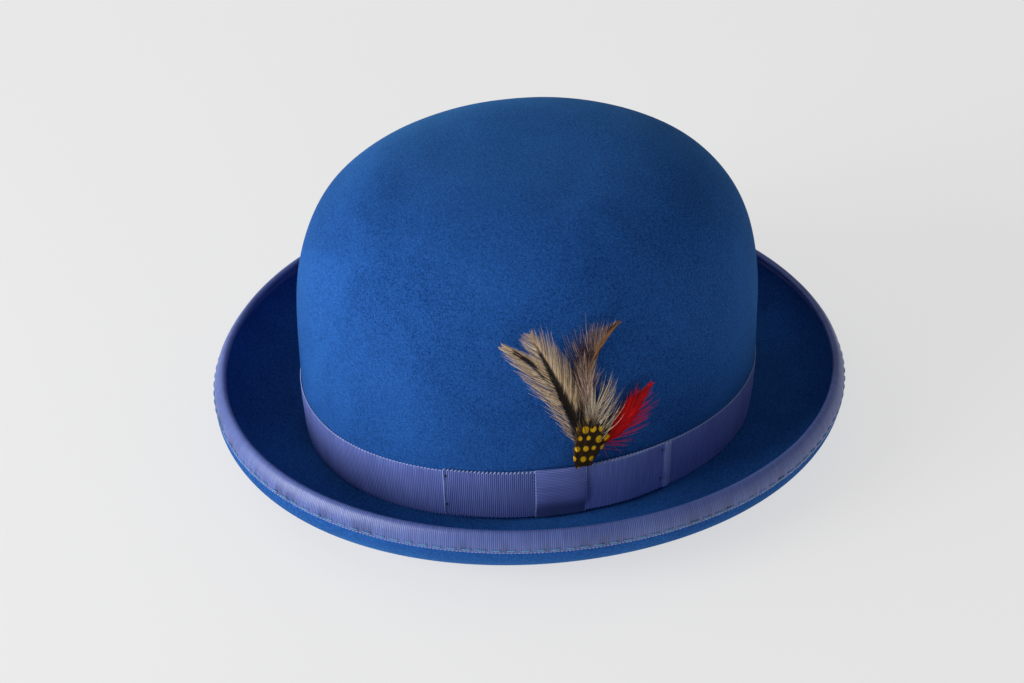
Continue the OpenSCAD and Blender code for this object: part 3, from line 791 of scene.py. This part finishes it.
def brim_binding():
    """Ribbon folded over the rim, its ribs square to the edge, eased round the curl."""
    run, pitch = ring_ribs(rim_round, 4)
    th = rim_round.angle(run)
    out_rows, turn_rows, in_rows = 8, 5, 5
    out_mm = bind_outside * np.linspace(1, 0, out_rows + 1)[:-1]
    in_mm = bind_inside * np.linspace(0, 1, in_rows + 1)[1:]
    shares_out, shares_in = 1 - out_mm / brim_width, 1 - in_mm / brim_width
    wave, loops = rib_wave(run, pitch)
    place = join(run, 0, 0)
    drift = 0.10 * wander(place, 34, 5)[:, None]
    # The sewing line pulls the ribbon in, most at each needle hole
    line = bind_outside - stitch_inset
    sew = np.abs(np.sin(np.pi * run / stitch_pitch))[:, None]
    pull = (0.14 + 0.28 * (1 - sew)) * hump(out_mm, line, 1.3)
    # Needle holes at both ends of each stitch: small dips, with painted shade
    from_gap = np.abs((run + stitch_pitch / 2) % stitch_pitch - stitch_pitch / 2)[:, None]
    holes = hump(from_gap, (stitch_pitch - stitch_length) / 2, 0.4) * hump(out_mm, line, 0.7)
    # Small creases run up from the sewing line and fade before the rim; each is a slight dip with
    # painted shade
    crease = np.clip(1.5 * wander(place, 6.5, 6)[:, None], 0, 1) ** 1.5
    crease = crease * np.clip((out_mm - 1.5) / 4.0, 0, 1)
    pull = pull + 0.12 * holes + 0.14 * crease
    seat = half_felt + 0.1
    face = seat + ribbon_thick - groove(wave)
    loop_shift = scallop / brim_width * (loops - 1)
    first, last = np.eye(1, out_rows), np.eye(1, in_rows, in_rows - 1)
    sections = np.concatenate([
        brim_surface(th, shares_out - loop_shift * first, -(face - pull + drift - 0.12 * first)),
        rim_point(th, np.linspace(-np.pi / 2, np.pi / 2, turn_rows), face),
        brim_surface(th, shares_in - loop_shift * last, face - 0.12 * last),
        brim_surface(th, np.array([shares_in[-1], 1.0]), seat),
        brim_surface(th, np.array([1.0, shares_out[0]]), -seat)], 1)
    m = sections.shape[1]
    edge = np.zeros(m)
    edge[[0, out_rows + turn_rows + in_rows - 1]] = 1.0
    marks = join(wave, edge * (0.35 + 0.65 * loops), np.zeros(m))
    # Painted shade: the blue mark darkens the needle holes and the creases
    marks[:, :out_rows, 2] = np.clip(0.9 * holes + 0.5 * crease, 0, 1)
    sweep("rim_binding", "binding_ribbon", "brim_binding", sections,
          uv=uv_grid(run, arc(*sections[0].T)), marks=marks)


brim_binding()


def binding_stitches():
    """Running stitches along the binding's lower edge: two twisted plies, dipping at each end."""
    threads = Bundle()
    rng = np.random.default_rng(8)
    share = 1 - (bind_outside - stitch_inset) / brim_width
    s = np.linspace(0, 1, 12)
    rise = 0.20 * np.sin(np.pi * s) ** 0.45 - 0.22
    for k in range(stitch_count):
        visible = stitch_length + rng.uniform(-0.25, 0.25)
        start = k * stitch_pitch + rng.uniform(-0.15, 0.15) + (stitch_pitch - visible) / 2
        th = rim_round.angle(start + visible * s)
        tilt = rng.uniform(-0.12, 0.12)
        for ply in (0, np.pi):
            twist = ply + TAU * 2.2 * s
            off = half_felt + 0.1 + ribbon_thick + rise + 0.09 * np.sin(twist)
            slide = (tilt * (2 * s - 1) + 0.09 * np.cos(twist)) / brim_width
            threads.rod(brim_surface(th, (share + slide)[:, None], -off[:, None])[:, 0], 0.16, 5)
    threads.build("binding_stitch_threads", "binding_thread", "binding_stitches")


binding_stitches()


# ---------------------------------------------------------------- inside

ring_th = full_turn(288)[:, None]
ring_run = crown_round.length(np.where(ring_th > np.pi, ring_th - TAU, ring_th))[:, 0]


def ring_strip(name, slot, node, z, off_face, off_back):
    """A thin closed strip round the inside, from heights z (angles by rows) and insets."""
    pts = np.concatenate([wall_point(ring_th, z, off_face),
                          wall_point(ring_th, z[:, ::-1], off_back)], 1)
    t = np.linspace(0, 1, z.shape[1])
    across = np.concatenate([t, t[::-1]]) * np.ptp(z)
    sweep(name, slot, node, pts, uv=uv_grid(ring_run, across), flip=True)


def ring_cord(name, slot, node, centre, radius):
    verts, quads = tube(centre[:, 0], radius, 12, close=True)
    make_piece(name, slot, node, verts, [quads])


def sweatband():
    """Leather strip standing inside the crown, rolled thin at its top edge, with a reed in its
    lower edge and a tape that sews it to the felt."""
    t = np.linspace(0, 1, 60)
    z = sweat_foot + t * (sweat_top - sweat_foot) + foot_lift(ring_th) * (1 - t)
    roll = 0.5 * np.clip(1 - (1 - t) * 14, 0, 1) + 0.3 * np.clip(1 - t * 20, 0, 1)
    bead = 0.25 * hump(t, 0.91, 0.012)
    wave = 0.15 * np.sin(7 * ring_th + 1.3) * t * t
    ring_strip("sweatband_leather", "sweat_leather", "sweatband", z,
               sweat_in - sweat_thick + roll + bead + wave, sweat_in)
    ring_cord("sweatband_reed_cord", "reed", "sweatband_reed", wall_point(
        ring_th, sweat_foot - reed_r - gap, sweat_in - sweat_thick / 2, foot_lift(ring_th)), reed_r)
    ring_strip("reed_tape_strip", "tape", "reed_tape",
               sweat_foot + 7 * np.linspace(0, 1, 8) + foot_lift(ring_th),
               -felt_thick - gap - lining_thick, -felt_thick - gap)


def sweatband_stitches():
    """Stitches that join the sweatband to its tape, just above its foot."""
    threads = Bundle()
    inner = Around(half_a + sweat_in, half_b + sweat_in)
    count = round(inner.total / sweat_pitch)
    s = np.linspace(0, 1, 7)
    off = sweat_in - sweat_thick - 0.26 * np.sin(np.pi * s) + 0.12
    for k in range(count):
        th = inner.angle((k + 0.68 * s) * inner.total / count)
        threads.rod(wall_point(th, sweat_foot + 2, off, foot_lift(th)), 0.19)
    threads.build("sweatband_stitch_threads", "pale_thread", "sweatband_stitches")


def sweatband_seam():
    """Leather tab with rounded sides over the sweatband's join."""
    low, high = box_mm("sweatband_seam")
    t = np.linspace(0, 1, 40)
    a = np.linspace(-1, 1, 15)[:, None]
    z = low[2] - foot_z + 0.6 + t * (high[2] - low[2] - 1.2)
    th = np.pi / 2 + a * (high[0] - low[0]) / 2 / half_b
    dome = (1 - np.abs(a) ** 6) * (1 - np.abs(2 * t - 1) ** 24)
    seat = sweat_in - sweat_thick - gap
    pts = np.concatenate([wall_point(th, z, seat - 0.15 - 0.5 * dome),
                          wall_point(th, z[::-1], seat)], 1)
    sweep("sweatband_seam_tab", "sweat_leather", "sweatband_seam", pts, False, flip=True)


def power(v, p):
    """v to the power p, with its sign kept."""
    return np.sign(v) * np.abs(v) ** p


def sweatband_bow():
    """Small flat ribbon bow at the back of the sweatband: two looped ends and a knot."""
    low, high = box_mm("sweatband_bow")
    mid = (low + high) / 2
    reach, _, tall = (high - low) / 2
    s = np.linspace(-1, 1, 60)[:, None]
    wide = tall * (0.32 + 0.68 * np.abs(s) ** 0.7) * (1 - 0.25 * np.abs(s) ** 8)
    a = full_turn(20)
    fat = 0.25 + 0.35 * np.sin(np.pi * np.clip(np.abs(s) * 1.05, 0, 1)) ** 1.5
    x = mid[0] + s * reach
    z = mid[2] + wide * power(np.cos(a), 0.8) + 0.04 * np.sin(x * 9.0)
    pts = join(x, mid[1] - fat * power(np.sin(a), 0.6), z)
    sweep("sweatband_bow_ribbon", "inner_ribbon", "sweatband_bow", pts, False,
          join(x, z - mid[2]) * MM, True)
    s, a = full_turn(24)[:, None], full_turn(12)
    y = mid[1] + (0.75 + 0.1 * np.cos(a)) * np.cos(s)
    z = mid[2] + (tall * 0.62 + 0.1 * np.cos(a)) * np.sin(s)
    sweep("sweatband_bow_knot", "inner_ribbon", None, join(mid[0] + 1.5 * np.sin(a), y, z))


def lining_side():
    """Satin strip with soft upright gathers that grow towards the tip."""
    th = full_turn(480)[:, None]
    phi = np.linspace(0, np.pi / 2, 3000)
    share = np.linspace(0, 1, 46)
    rho, z = dome_profile(phi[phi <= seam_phi], share, lining_off - lining_thick)
    gather = 0.35 * share ** 1.5 * (np.sin(60 * th + 2 * np.sin(3 * th))
                                    + 0.5 * np.sin(97 * th + 1.0))
    z_wall = np.linspace(lining_foot, wall_height, 6)[:-1]
    face_off, back_off = lining_off - lining_thick, lining_off - 0.02
    low = z_wall[::-2]
    pts = np.concatenate([
        wall_point(th, z_wall, face_off, wall_lift(th, z_wall)),
        dome_point(th, rho, z, face_off - 0.35 * share + gather * 0.5),
        dome_point(th, rho[::-6], z[::-6], back_off),
        wall_point(th, low, back_off, wall_lift(th, low))], 1)
    uv = uv_grid(th[:, 0] * half_a, np.linspace(0, 100, pts.shape[1]))[..., ::-1]
    sweep("lining_side_satin", "satin", "lining_side", pts, uv=uv, flip=True)


def lining_tip():
    """Oval satin tip, quilted softly against the crown's inside."""
    count, rows = 240, 40
    th = full_turn(count)[:, None]
    rho_all, z_all = dome_curve(np.linspace(seam_phi, np.pi / 2, 3000), lining_off - lining_thick)
    rho = np.linspace(rho_all[0], 0, rows + 1)[:-1]
    z = np.interp(rho, rho_all[::-1], z_all[::-1])
    bumps = 0.3 * wander(dome_point(th, rho, z, 0.0), 24, 31)
    face = dome_point(th, rho, z - 0.2 + bumps * np.clip(1.2 - rho, 0, 1), lining_off - lining_thick)
    back = dome_point(th, rho[::-5], z[::-5] + lining_thick, lining_off)
    m = rows + back.shape[1]
    top = foot_z + z_all[-1]
    verts = np.concatenate([np.concatenate([face, back], 1).reshape(-1, 3),
                            [[0, 0, top - 0.2], [0, 0, top + lining_thick]]])
    # The face's last row and the back's first one end in fans at the middle of the tip
    quads = grid_polys(count, m, True, True).reshape(count, m, 4)
    quads = np.delete(quads, rows - 1, 1).reshape(-1, 4)
    caps = [fan(count, m, rows - 1, count * m), fan(count, m, rows, count * m + 1, True)]
    make_piece("lining_tip_satin", "satin", "lining_tip", verts,
               [quads[:, ::-1], np.concatenate(caps)[:, ::-1]], uv=verts[:, :2] * MM)


def lining_piping():
    """Cord along the seam between the lining's two parts."""
    off = lining_off - lining_thick - piping_r - gap
    rho, z = dome_curve(seam_phi, off)
    ring_cord("lining_piping_cord", "piping", "lining_piping", dome_point(ring_th, rho, z, off),
              piping_r)


for make in (sweatband, sweatband_stitches, sweatband_seam, sweatband_bow, lining_side,
             lining_tip, lining_piping):
    make()


# ---------------------------------------------------------------- feathers

tab_high = box_mm("spray_tab")[1]
edge_z = foot_z + bow_foot(0) + band_width + side_lift     # top edge of the bow at the spray
feather_x = tab_high[0] + 0.1
feather_lean = math.tan(math.radians(3.0))


def curve(ctrl, t):
    """Points at shares t of a smooth curve through its first and last control points."""
    pts = np.repeat(np.asarray(ctrl, float)[None], len(t), 0)
    while pts.shape[1] > 1:
        pts = pts[:, :-1] + t[:, None, None] * (pts[:, 1:] - pts[:, :-1])
    return pts[:, 0]


class Feather:
    """One feather beside the crown. path holds control points (Y, height above the bow's edge)
    and out how far foot and tip stand off a plane that leans towards the crown."""

    def __init__(self, path, out, seed):
        self.rng = np.random.default_rng(seed)
        self.ctrl = [(feather_x - feather_lean * h + o, y, edge_z + h)
                     for (y, h), o in zip(path, np.linspace(*out, len(path)))]
        self.length = math.dist(self.ctrl[0], self.ctrl[-1])
        self.bundle = Bundle()

    def quill(self, thick, mark=0.0, start=0.0, stop=1.0, tint=0.7):
        share = np.linspace(0, 1, 28)
        t = start + (stop - start) * share
        self.bundle.rod(curve(self.ctrl, t), thick / 2 * (1 - 0.85 * share) + 0.02,
                        marks=join(mark, tint, t))

    def barbs(self, way, count, width, angle, bend, start=0.04, stop=0.99, thick=0.26,
              fine=0.05, clump=0.10, wild=0.08, lift=0.5, droop=0.0, segs=8, mark=None,
              tint=(0.0, 1.0), longest=60.0, beyond=1.5):
        """Barbs on one side (way -1 left, 1 right). width(t) is the vane's half width in mm,
        angle runs from foot to tip in degrees, bend is the share of it that a barb loses on its
        way out, beyond is how far barbs may reach past the feather's tip, droop is how far their
        ends sink towards the crown and mark(t, away, share, points, rng) says how marked each
        point is, away from the shaft."""
        rng = self.rng
        t = np.linspace(start, stop, count) + rng.uniform(-0.4, 0.4, count) / count
        t = np.clip(t, 0.001, 0.999)
        root = curve(self.ctrl, t)
        along = unit(curve(self.ctrl, t + 0.005) - curve(self.ctrl, t - 0.005))
        side = unit(np.cross([1.0, 0.0, 0.0], along))
        normal = np.cross(along, side)
        base = np.radians(angle[0] + (angle[1] - angle[0]) * t)
        # Neighbouring barbs cling together in clumps, and single ones go their own way
        steps = np.cumsum(rng.normal(size=count))
        steps -= np.convolve(steps, np.ones(15) / 15, "same")[:count]
        drift = clump * np.clip(steps / 2.5, -1.5, 1.5)
        base = base * (1 + drift + wild * rng.normal(size=count))
        size = width(t) / np.maximum(np.sin(base * (1 - bend / 2)), 0.15)
        size = np.minimum(size, np.minimum(longest, (1 - t) * self.length + beyond))
        size *= 1 + 0.10 * rng.normal(size=count) + 0.4 * drift
        size = np.maximum(size, 0.6)
        r = np.linspace(0, 1, segs + 1)
        turn = base[:, None] * (1 - bend * r[:-1])
        go, wide = [np.pad(np.cumsum(part(turn), 1) * size[:, None] / segs, ((0, 0), (1, 0)))
                    for part in (np.cos, np.sin)]
        sway = rng.normal(size=(count, 1)) * 0.3 + drift[:, None] * 2 - droop
        rise = lift * (1 - r) * r * 2 + sway * r ** 2
        pts = (root[:, None] + along[:, None] * go[..., None]
               - way * side[:, None] * wide[..., None] + normal[:, None] * rise[..., None])
        radius = (thick / 2) * (1 - r) ** 0.75 + fine / 2
        share = rng.uniform(*tint, count)
        for i in range(count):
            m = 0.0 if mark is None else mark(t[i], wide[i], r, pts[i], rng)
            self.bundle.rod(pts[i], radius, 3, join(m, share[i], r))

    def build(self, name, slot, node, look=None):
        self.bundle.build(name, slot, node, body=SPRAY, look=look)


def vane(widest, at, low, high):
    """Half width along a shaft: rises to widest at a share, from low to high at the ends."""
    def width(t):
        before = low + (widest - low) * ease(t / at)
        after = high + (widest - high) * ease((1 - t) / (1 - at))
        return np.where(t < at, before, after)
    return width


def stripe(base, tip, end, flare_at=0.0, flare_mm=0.0):
    """Dark marks beside the shaft up to the share end: base mm wide at the foot, tip mm at the
    end, and flare_mm wider below the share flare_at."""
    def mark(t, away, r, pts, rng):
        edge = base + (tip - base) * (t / end) ** 1.5 + flare_mm * ease((flare_at - t) / 0.10)
        edge = edge * (1 + 0.10 * rng.normal()) if t < end else -1.0
        return np.clip((edge - away) / 0.25, 0, 1)
    return mark


def cream_front():
    f = Feather([(-1.0, 3.0), (-4.5, 24.0), (-12.0, 50.0), (-35.2, 67.2)], (1.0, 1.3), 41)
    f.quill(0.6, mark=1.0, stop=0.90)
    f.quill(0.6, start=0.88, tint=0.0)
    dark = stripe(2.2, 0.9, 0.92)
    f.barbs(-1, 190, vane(8.8, 0.46, 4.0, 1.2), (38, 18), 0.30, start=0.14, mark=dark,
            thick=0.28, fine=0.03, clump=0.32, wild=0.13)
    f.barbs(1, 260, vane(3.8, 0.5, 3.0, 0.8), (30, 16), 0.45, start=0.14, mark=dark, thick=0.24)
    f.build("cream_hackle_front_barbs", "cream_feather", "cream_hackle_front")


def cream_rear():
    f = Feather([(-0.5, 3.0), (-3.0, 24.0), (-14.5, 48.0), (-23.9, 71.9)], (2.3, 2.6), 42)
    f.quill(0.8, mark=1.0, stop=0.88)
    f.quill(0.6, start=0.86, tint=0.0)
    f.barbs(-1, 180, vane(4.6, 0.88, 0.9, 1.2), (32, 28), 0.15, start=0.12,
            mark=stripe(3.2, 0.5, 0.92), thick=0.22, fine=0.03, clump=0.18, wild=0.10,
            tint=(0.1, 1.0), beyond=2.5)
    f.barbs(1, 240, vane(7.2, 0.52, 4.0, 1.0), (26, 18), 0.3, start=0.12,
            mark=stripe(2.8, 0.45, 0.90, flare_at=0.34, flare_mm=4.0), thick=0.20,
            fine=0.03, clump=0.16, wild=0.10, tint=(0.0, 0.9))
    f.build("cream_hackle_rear_barbs", "cream_feather", "cream_hackle_rear")


def mottled():
    path = [(1.0, 3.0), (5.0, 22.0), (-10.5, 46.0), (13.9, 69.0)]
    f = Feather(path, (1.9, 1.0), 43)

    def dusk(t, away, r, pts, rng):
        tip = 1 - ease((r - 0.55) / 0.3) * (rng.uniform() < 0.6)
        return tip * (rng.uniform() < 0.72)

    def bars(t, away, r, pts, rng):
        return np.clip(2.2 * np.sin(34 * t + 0.8 * away + 0.3 * rng.normal()), 0, 1)

    def streaks(t, away, r, pts, rng):
        return 0.75 * (rng.uniform() < 0.38)

    # Free barbs of the upper half, dark with pale tips, then down that thickens to the foot
    f.barbs(-1, 130, vane(10.5, 0.62, 8.5, 1.5), (44, 34), 0.42, start=0.44, stop=0.98,
            thick=0.17, fine=0.03, clump=0.26, wild=0.14, mark=dusk, tint=(0.1, 0.9), beyond=4.0)
    f.barbs(-1, 230, vane(5.2, 0.7, 3.4, 0.8), (36, 20), 0.4, start=0.50, mark=bars,
            thick=0.20, clump=0.2, wild=0.12, tint=(0.0, 0.6))
    f.barbs(1, 130, vane(2.4, 0.6, 2.0, 0.8), (30, 16), 0.5, start=0.52, mark=bars,
            thick=0.24, clump=0.12, tint=(0.0, 0.5))
    f.barbs(1, 22, vane(6.5, 0.5, 6.0, 5.0), (40, 30), 0.4, start=0.46, stop=0.56, mark=dusk,
            thick=0.14, wild=0.2, tint=(0.3, 1.0), longest=13.0)
    for way, wide in ((-1, 3.4), (1, 2.8)):
        f.barbs(way, 230, vane(wide, 0.5, 2.4, 1.6), (26, 18), 0.8, start=0.18, stop=0.68,
                thick=0.2, clump=0.4, wild=0.25, lift=1.1, mark=streaks, longest=13.0)
    f.build("mottled_feather_barbs", "brown_feather", "mottled_feather")
    f = Feather(path, (2.1, 1.2), 53)
    f.quill(0.6, tint=0.3, start=0.70)
    f.barbs(1, 60, vane(0.9, 0.5, 0.8, 0.5), (18, 12), 0.4, start=0.78, thick=0.24)
    f.barbs(-1, 60, vane(1.0, 0.5, 0.9, 0.5), (20, 12), 0.4, start=0.80, thick=0.20)
    f.build("mottled_feather_shaft", "brown_feather", None, "shaft")


def grey():
    f = Feather([(1.0, 3.0), (1.8, 14.0), (2.6, 24.0), (3.6, 31.0)], (2.7, 2.2), 44)
    f.quill(0.4, tint=1.0)
    f.barbs(-1, 60, vane(3.4, 0.4, 2.4, 1.5), (24, 12), 0.9, start=0.25, thick=0.18, clump=0.3,
            wild=0.25, lift=1.0, tint=(0.2, 1.0), longest=15.0, beyond=9.0)
    f.barbs(1, 75, vane(10.5, 0.45, 8.0, 6.0), (52, 26), 0.75, start=0.22, thick=0.22, fine=0.03,
            clump=0.55, wild=0.25, lift=1.4, longest=18.0, beyond=16.0)
    # These near-black barbs lie under the pale ones: painted shade in the gaps between strands
    f.barbs(1, 60, vane(9.0, 0.45, 8.0, 5.0), (50, 26), 0.60, start=0.22, thick=0.15, fine=0.03,
            clump=0.3, wild=0.22, lift=0.2, mark=lambda *_: 0.9, longest=15.0, beyond=13.0)
    f.build("grey_hackle_barbs", "grey_feather", "grey_hackle")


def black():
    f = Feather([(-0.5, 1.6), (0.0, 9.0), (2.0, 15.0), (5.0, 21.0)], (3.0, 2.8), 45)
    f.quill(0.5)

    def pale_tip(t, away, r, pts, rng):
        return ease((r - 0.5) / 0.3) * (rng.uniform() < 0.4)

    f.barbs(-1, 90, vane(8.0, 0.35, 7.0, 1.0), (46, 20), 0.3, start=0.05, stop=0.8, thick=0.22,
            fine=0.03, wild=0.16, mark=pale_tip, beyond=9.0)
    f.barbs(1, 130, vane(6.0, 0.5, 5.0, 3.0), (42, 20), 0.5, start=0.05, thick=0.26, wild=0.16,
            longest=11.0, beyond=7.0)
    f.build("black_hackle_barbs", "dark_feather", "black_hackle")


def red():
    f = Feather([(1.0, 3.5), (9.0, 9.5), (15.0, 18.0), (28.2, 36.6)], (0.9, 1.3), 46)
    f.quill(0.6, mark=0.4)

    def shade(t, away, r, pts, rng):
        return 0.65 * (rng.uniform() < 0.3 + 0.3 * (t > 0.75))

    f.barbs(-1, 260, vane(4.6, 0.45, 2.6, 0.9), (28, 18), 0.4, start=0.30, thick=0.30,
            clump=0.20, mark=shade)
    f.barbs(1, 230, vane(3.2, 0.42, 2.0, 0.8), (24, 16), 0.3, start=0.30, thick=0.30,
            clump=0.20, mark=shade)
    # Free barbs that stand away from the vane on both sides and at the foot
    f.barbs(-1, 34, vane(6.5, 0.6, 4.0, 2.5), (30, 28), 0.1, start=0.36, stop=0.80, thick=0.13,
            clump=0.3, wild=0.2, beyond=1.0)
    f.barbs(1, 56, vane(8.6, 0.40, 8.0, 2.0), (44, 28), 0.25, start=0.32, stop=0.85, thick=0.13,
            clump=0.3, wild=0.2)
    f.barbs(1, 9, vane(9.0, 0.3, 9.0, 8.0), (76, 60), 0.1, start=0.26, stop=0.38, thick=0.14,
            wild=0.35, droop=-0.5)
    f.build("red_hackle_barbs", "red_feather", "red_hackle")


spot_start = np.array([0.65, 15.4])
spot_steps = np.array([[3.65, -0.5], [-1.5, -4.85]])


def guinea():
    """Dark pad with rows of yellow spots, close barbs that lie side by side."""
    f = Feather([(-5.4, 1.3), (-3.6, 6.5), (-0.8, 13.0), (2.0, 21.0)], (3.3, 3.0), 47)

    def spots(t, away, r, pts, rng):
        place = pts[:, 1:] - np.array([0, edge_z]) - spot_start
        near = np.round(place @ np.linalg.inv(spot_steps))
        # A number from 0 to 1 that looks random but belongs to the spot
        odd = np.sin(near @ np.array([12.99, 78.23])) * 43.76 % 1
        off = place - near @ spot_steps - join(odd - 0.5, 0.5 - odd)
        wide = (1.0 + 0.65 * odd) * (0.75 + 0.25 * ease((pts[:, 2] - edge_z) / 9))
        return np.clip((1 - np.hypot(off[:, 0] / wide, off[:, 1] / (1.2 * wide))) / 0.22, 0, 1)

    close = dict(start=0.01, stop=0.93, thick=0.42, fine=0.14, clump=0.02, wild=0.02, segs=30,
                 mark=spots, beyond=4.0)
    f.quill(0.4)
    f.barbs(-1, 170, vane(5.6, 0.35, 3.0, 2.0), (36, 22), 0.45, lift=0.8, droop=0.5, **close)
    f.barbs(1, 190, vane(8.8, 0.35, 7.0, 2.5), (54, 26), 0.22, lift=1.0, droop=0.8, **close)
    f.build("guinea_feather_barbs", "spotted_feather", "guinea_feather")


def quill_binding():
    """Thread wound round the feet of the quills on the tab."""
    low, high = box_mm("quill_binding")
    mid, half = (low + high) / 2, (high - low) / 2
    thread_r, turns = 0.2, 7
    t = np.linspace(0, 1, turns * 28)
    a = TAU * turns * t
    x = mid[0] + (half[0] - thread_r) * power(np.cos(a), 0.7)
    y = mid[1] + (half[1] - thread_r) * power(np.sin(a), 0.7)
    threads = Bundle()
    threads.rod(join(x, y, low[2] + thread_r + (high[2] - low[2] - 2 * thread_r) * t), thread_r)
    threads.build("quill_binding_thread", "quill_thread", "quill_binding", body=SPRAY)


for make in (cream_front, cream_rear, mottled, grey, black, red, guinea, quill_binding):
    make()
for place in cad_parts["spray_tab"].material_slots:
    place.material = M["tab"]


# ---------------------------------------------------------------- camera, floor and light

cam_az, cam_el, cam_roll = np.radians([75.29, 35.97, -0.76])
cam_distance = 1092.1
aim_side, aim_height = -7.59, 31.64
lens_mm, sensor_mm = 85.0, 36.0
floor_radius, floor_sides = 6000, 64
floor_glow, sky_glow = 0.63, 0.28
softbox_size, softbox_far = 1.0, 1.7
hat_mid = Vector((0.0, 0.0, 0.06))

to_camera = np.array([math.sin(cam_az) * math.cos(cam_el), -math.cos(cam_az) * math.cos(cam_el),
                      math.sin(cam_el)])
to_right = np.array([math.cos(cam_az), math.sin(cam_az), 0.0])


def place_object(name, data, matrix):
    obj = bpy.data.objects.new(name, data)
    obj.matrix_world = matrix
    bpy.context.scene.collection.objects.link(obj)
    return obj


def camera():
    up = np.cross(to_camera, to_right)
    turned = to_right * math.cos(cam_roll) + up * math.sin(cam_roll)
    upright = up * math.cos(cam_roll) - to_right * math.sin(cam_roll)
    aim = to_right * aim_side + np.array([0, 0, aim_height + foot_z])
    place = (aim + to_camera * cam_distance) * MM
    data = bpy.data.cameras.new("camera")
    data.lens, data.sensor_width, data.clip_start = lens_mm, sensor_mm, 0.05
    matrix = np.eye(4)
    matrix[:3] = np.stack([turned, upright, to_camera, place], 1)
    bpy.context.scene.camera = place_object("camera", data, Matrix(matrix.tolist()))


def stage():
    """A round pale floor and an even sky, both glowing a little."""
    a = full_turn(floor_sides)
    ring = floor_radius * join(np.cos(a), np.sin(a), 0)
    floor = new_object("floor", np.concatenate([ring, [[0, 0, 0]]]),
                       [fan(floor_sides, 1, 0, floor_sides)])
    s = Shade("pale_floor", 0.9, 0.1)
    s.set(Base_Color=s.mix(s.noise(s.coords(), 3.0, 2.0), (0.25, 0.25, 0.25), (0.27, 0.27, 0.27)),
          Emission_Color=(1, 1, 1), Emission_Strength=floor_glow)
    floor.data.materials.append(s.mat)
    world = bpy.data.worlds.new("studio")
    world.use_nodes = True
    sky = world.node_tree.nodes["Background"].inputs
    sky[0].default_value, sky[1].default_value = (1, 1, 1, 1), sky_glow
    bpy.context.scene.world = world


def studio_light(name, turn, height, watts):
    """A square softbox: turned left from the camera's side, and raised, in degrees."""
    turn, height = np.radians([turn, height])
    front = unit(to_camera * [1, 1, 0])
    way = (front * math.cos(turn) - to_right * math.sin(turn)) * math.cos(height)
    place = Vector(softbox_far * (way + [0, 0, math.sin(height)]))
    data = bpy.data.lights.new(name, "AREA")
    data.shape, data.size, data.energy = "SQUARE", softbox_size, watts
    aim = (hat_mid - place).to_track_quat("-Z", "Y")
    place_object(name, data, Matrix.Translation(place) @ aim.to_matrix().to_4x4())


camera()
stage()
studio_light("key", 65, 19, 29.5)
studio_light("back_left", 125, 35, 2.5)
bpy.context.scene.view_settings.view_transform = "Standard"
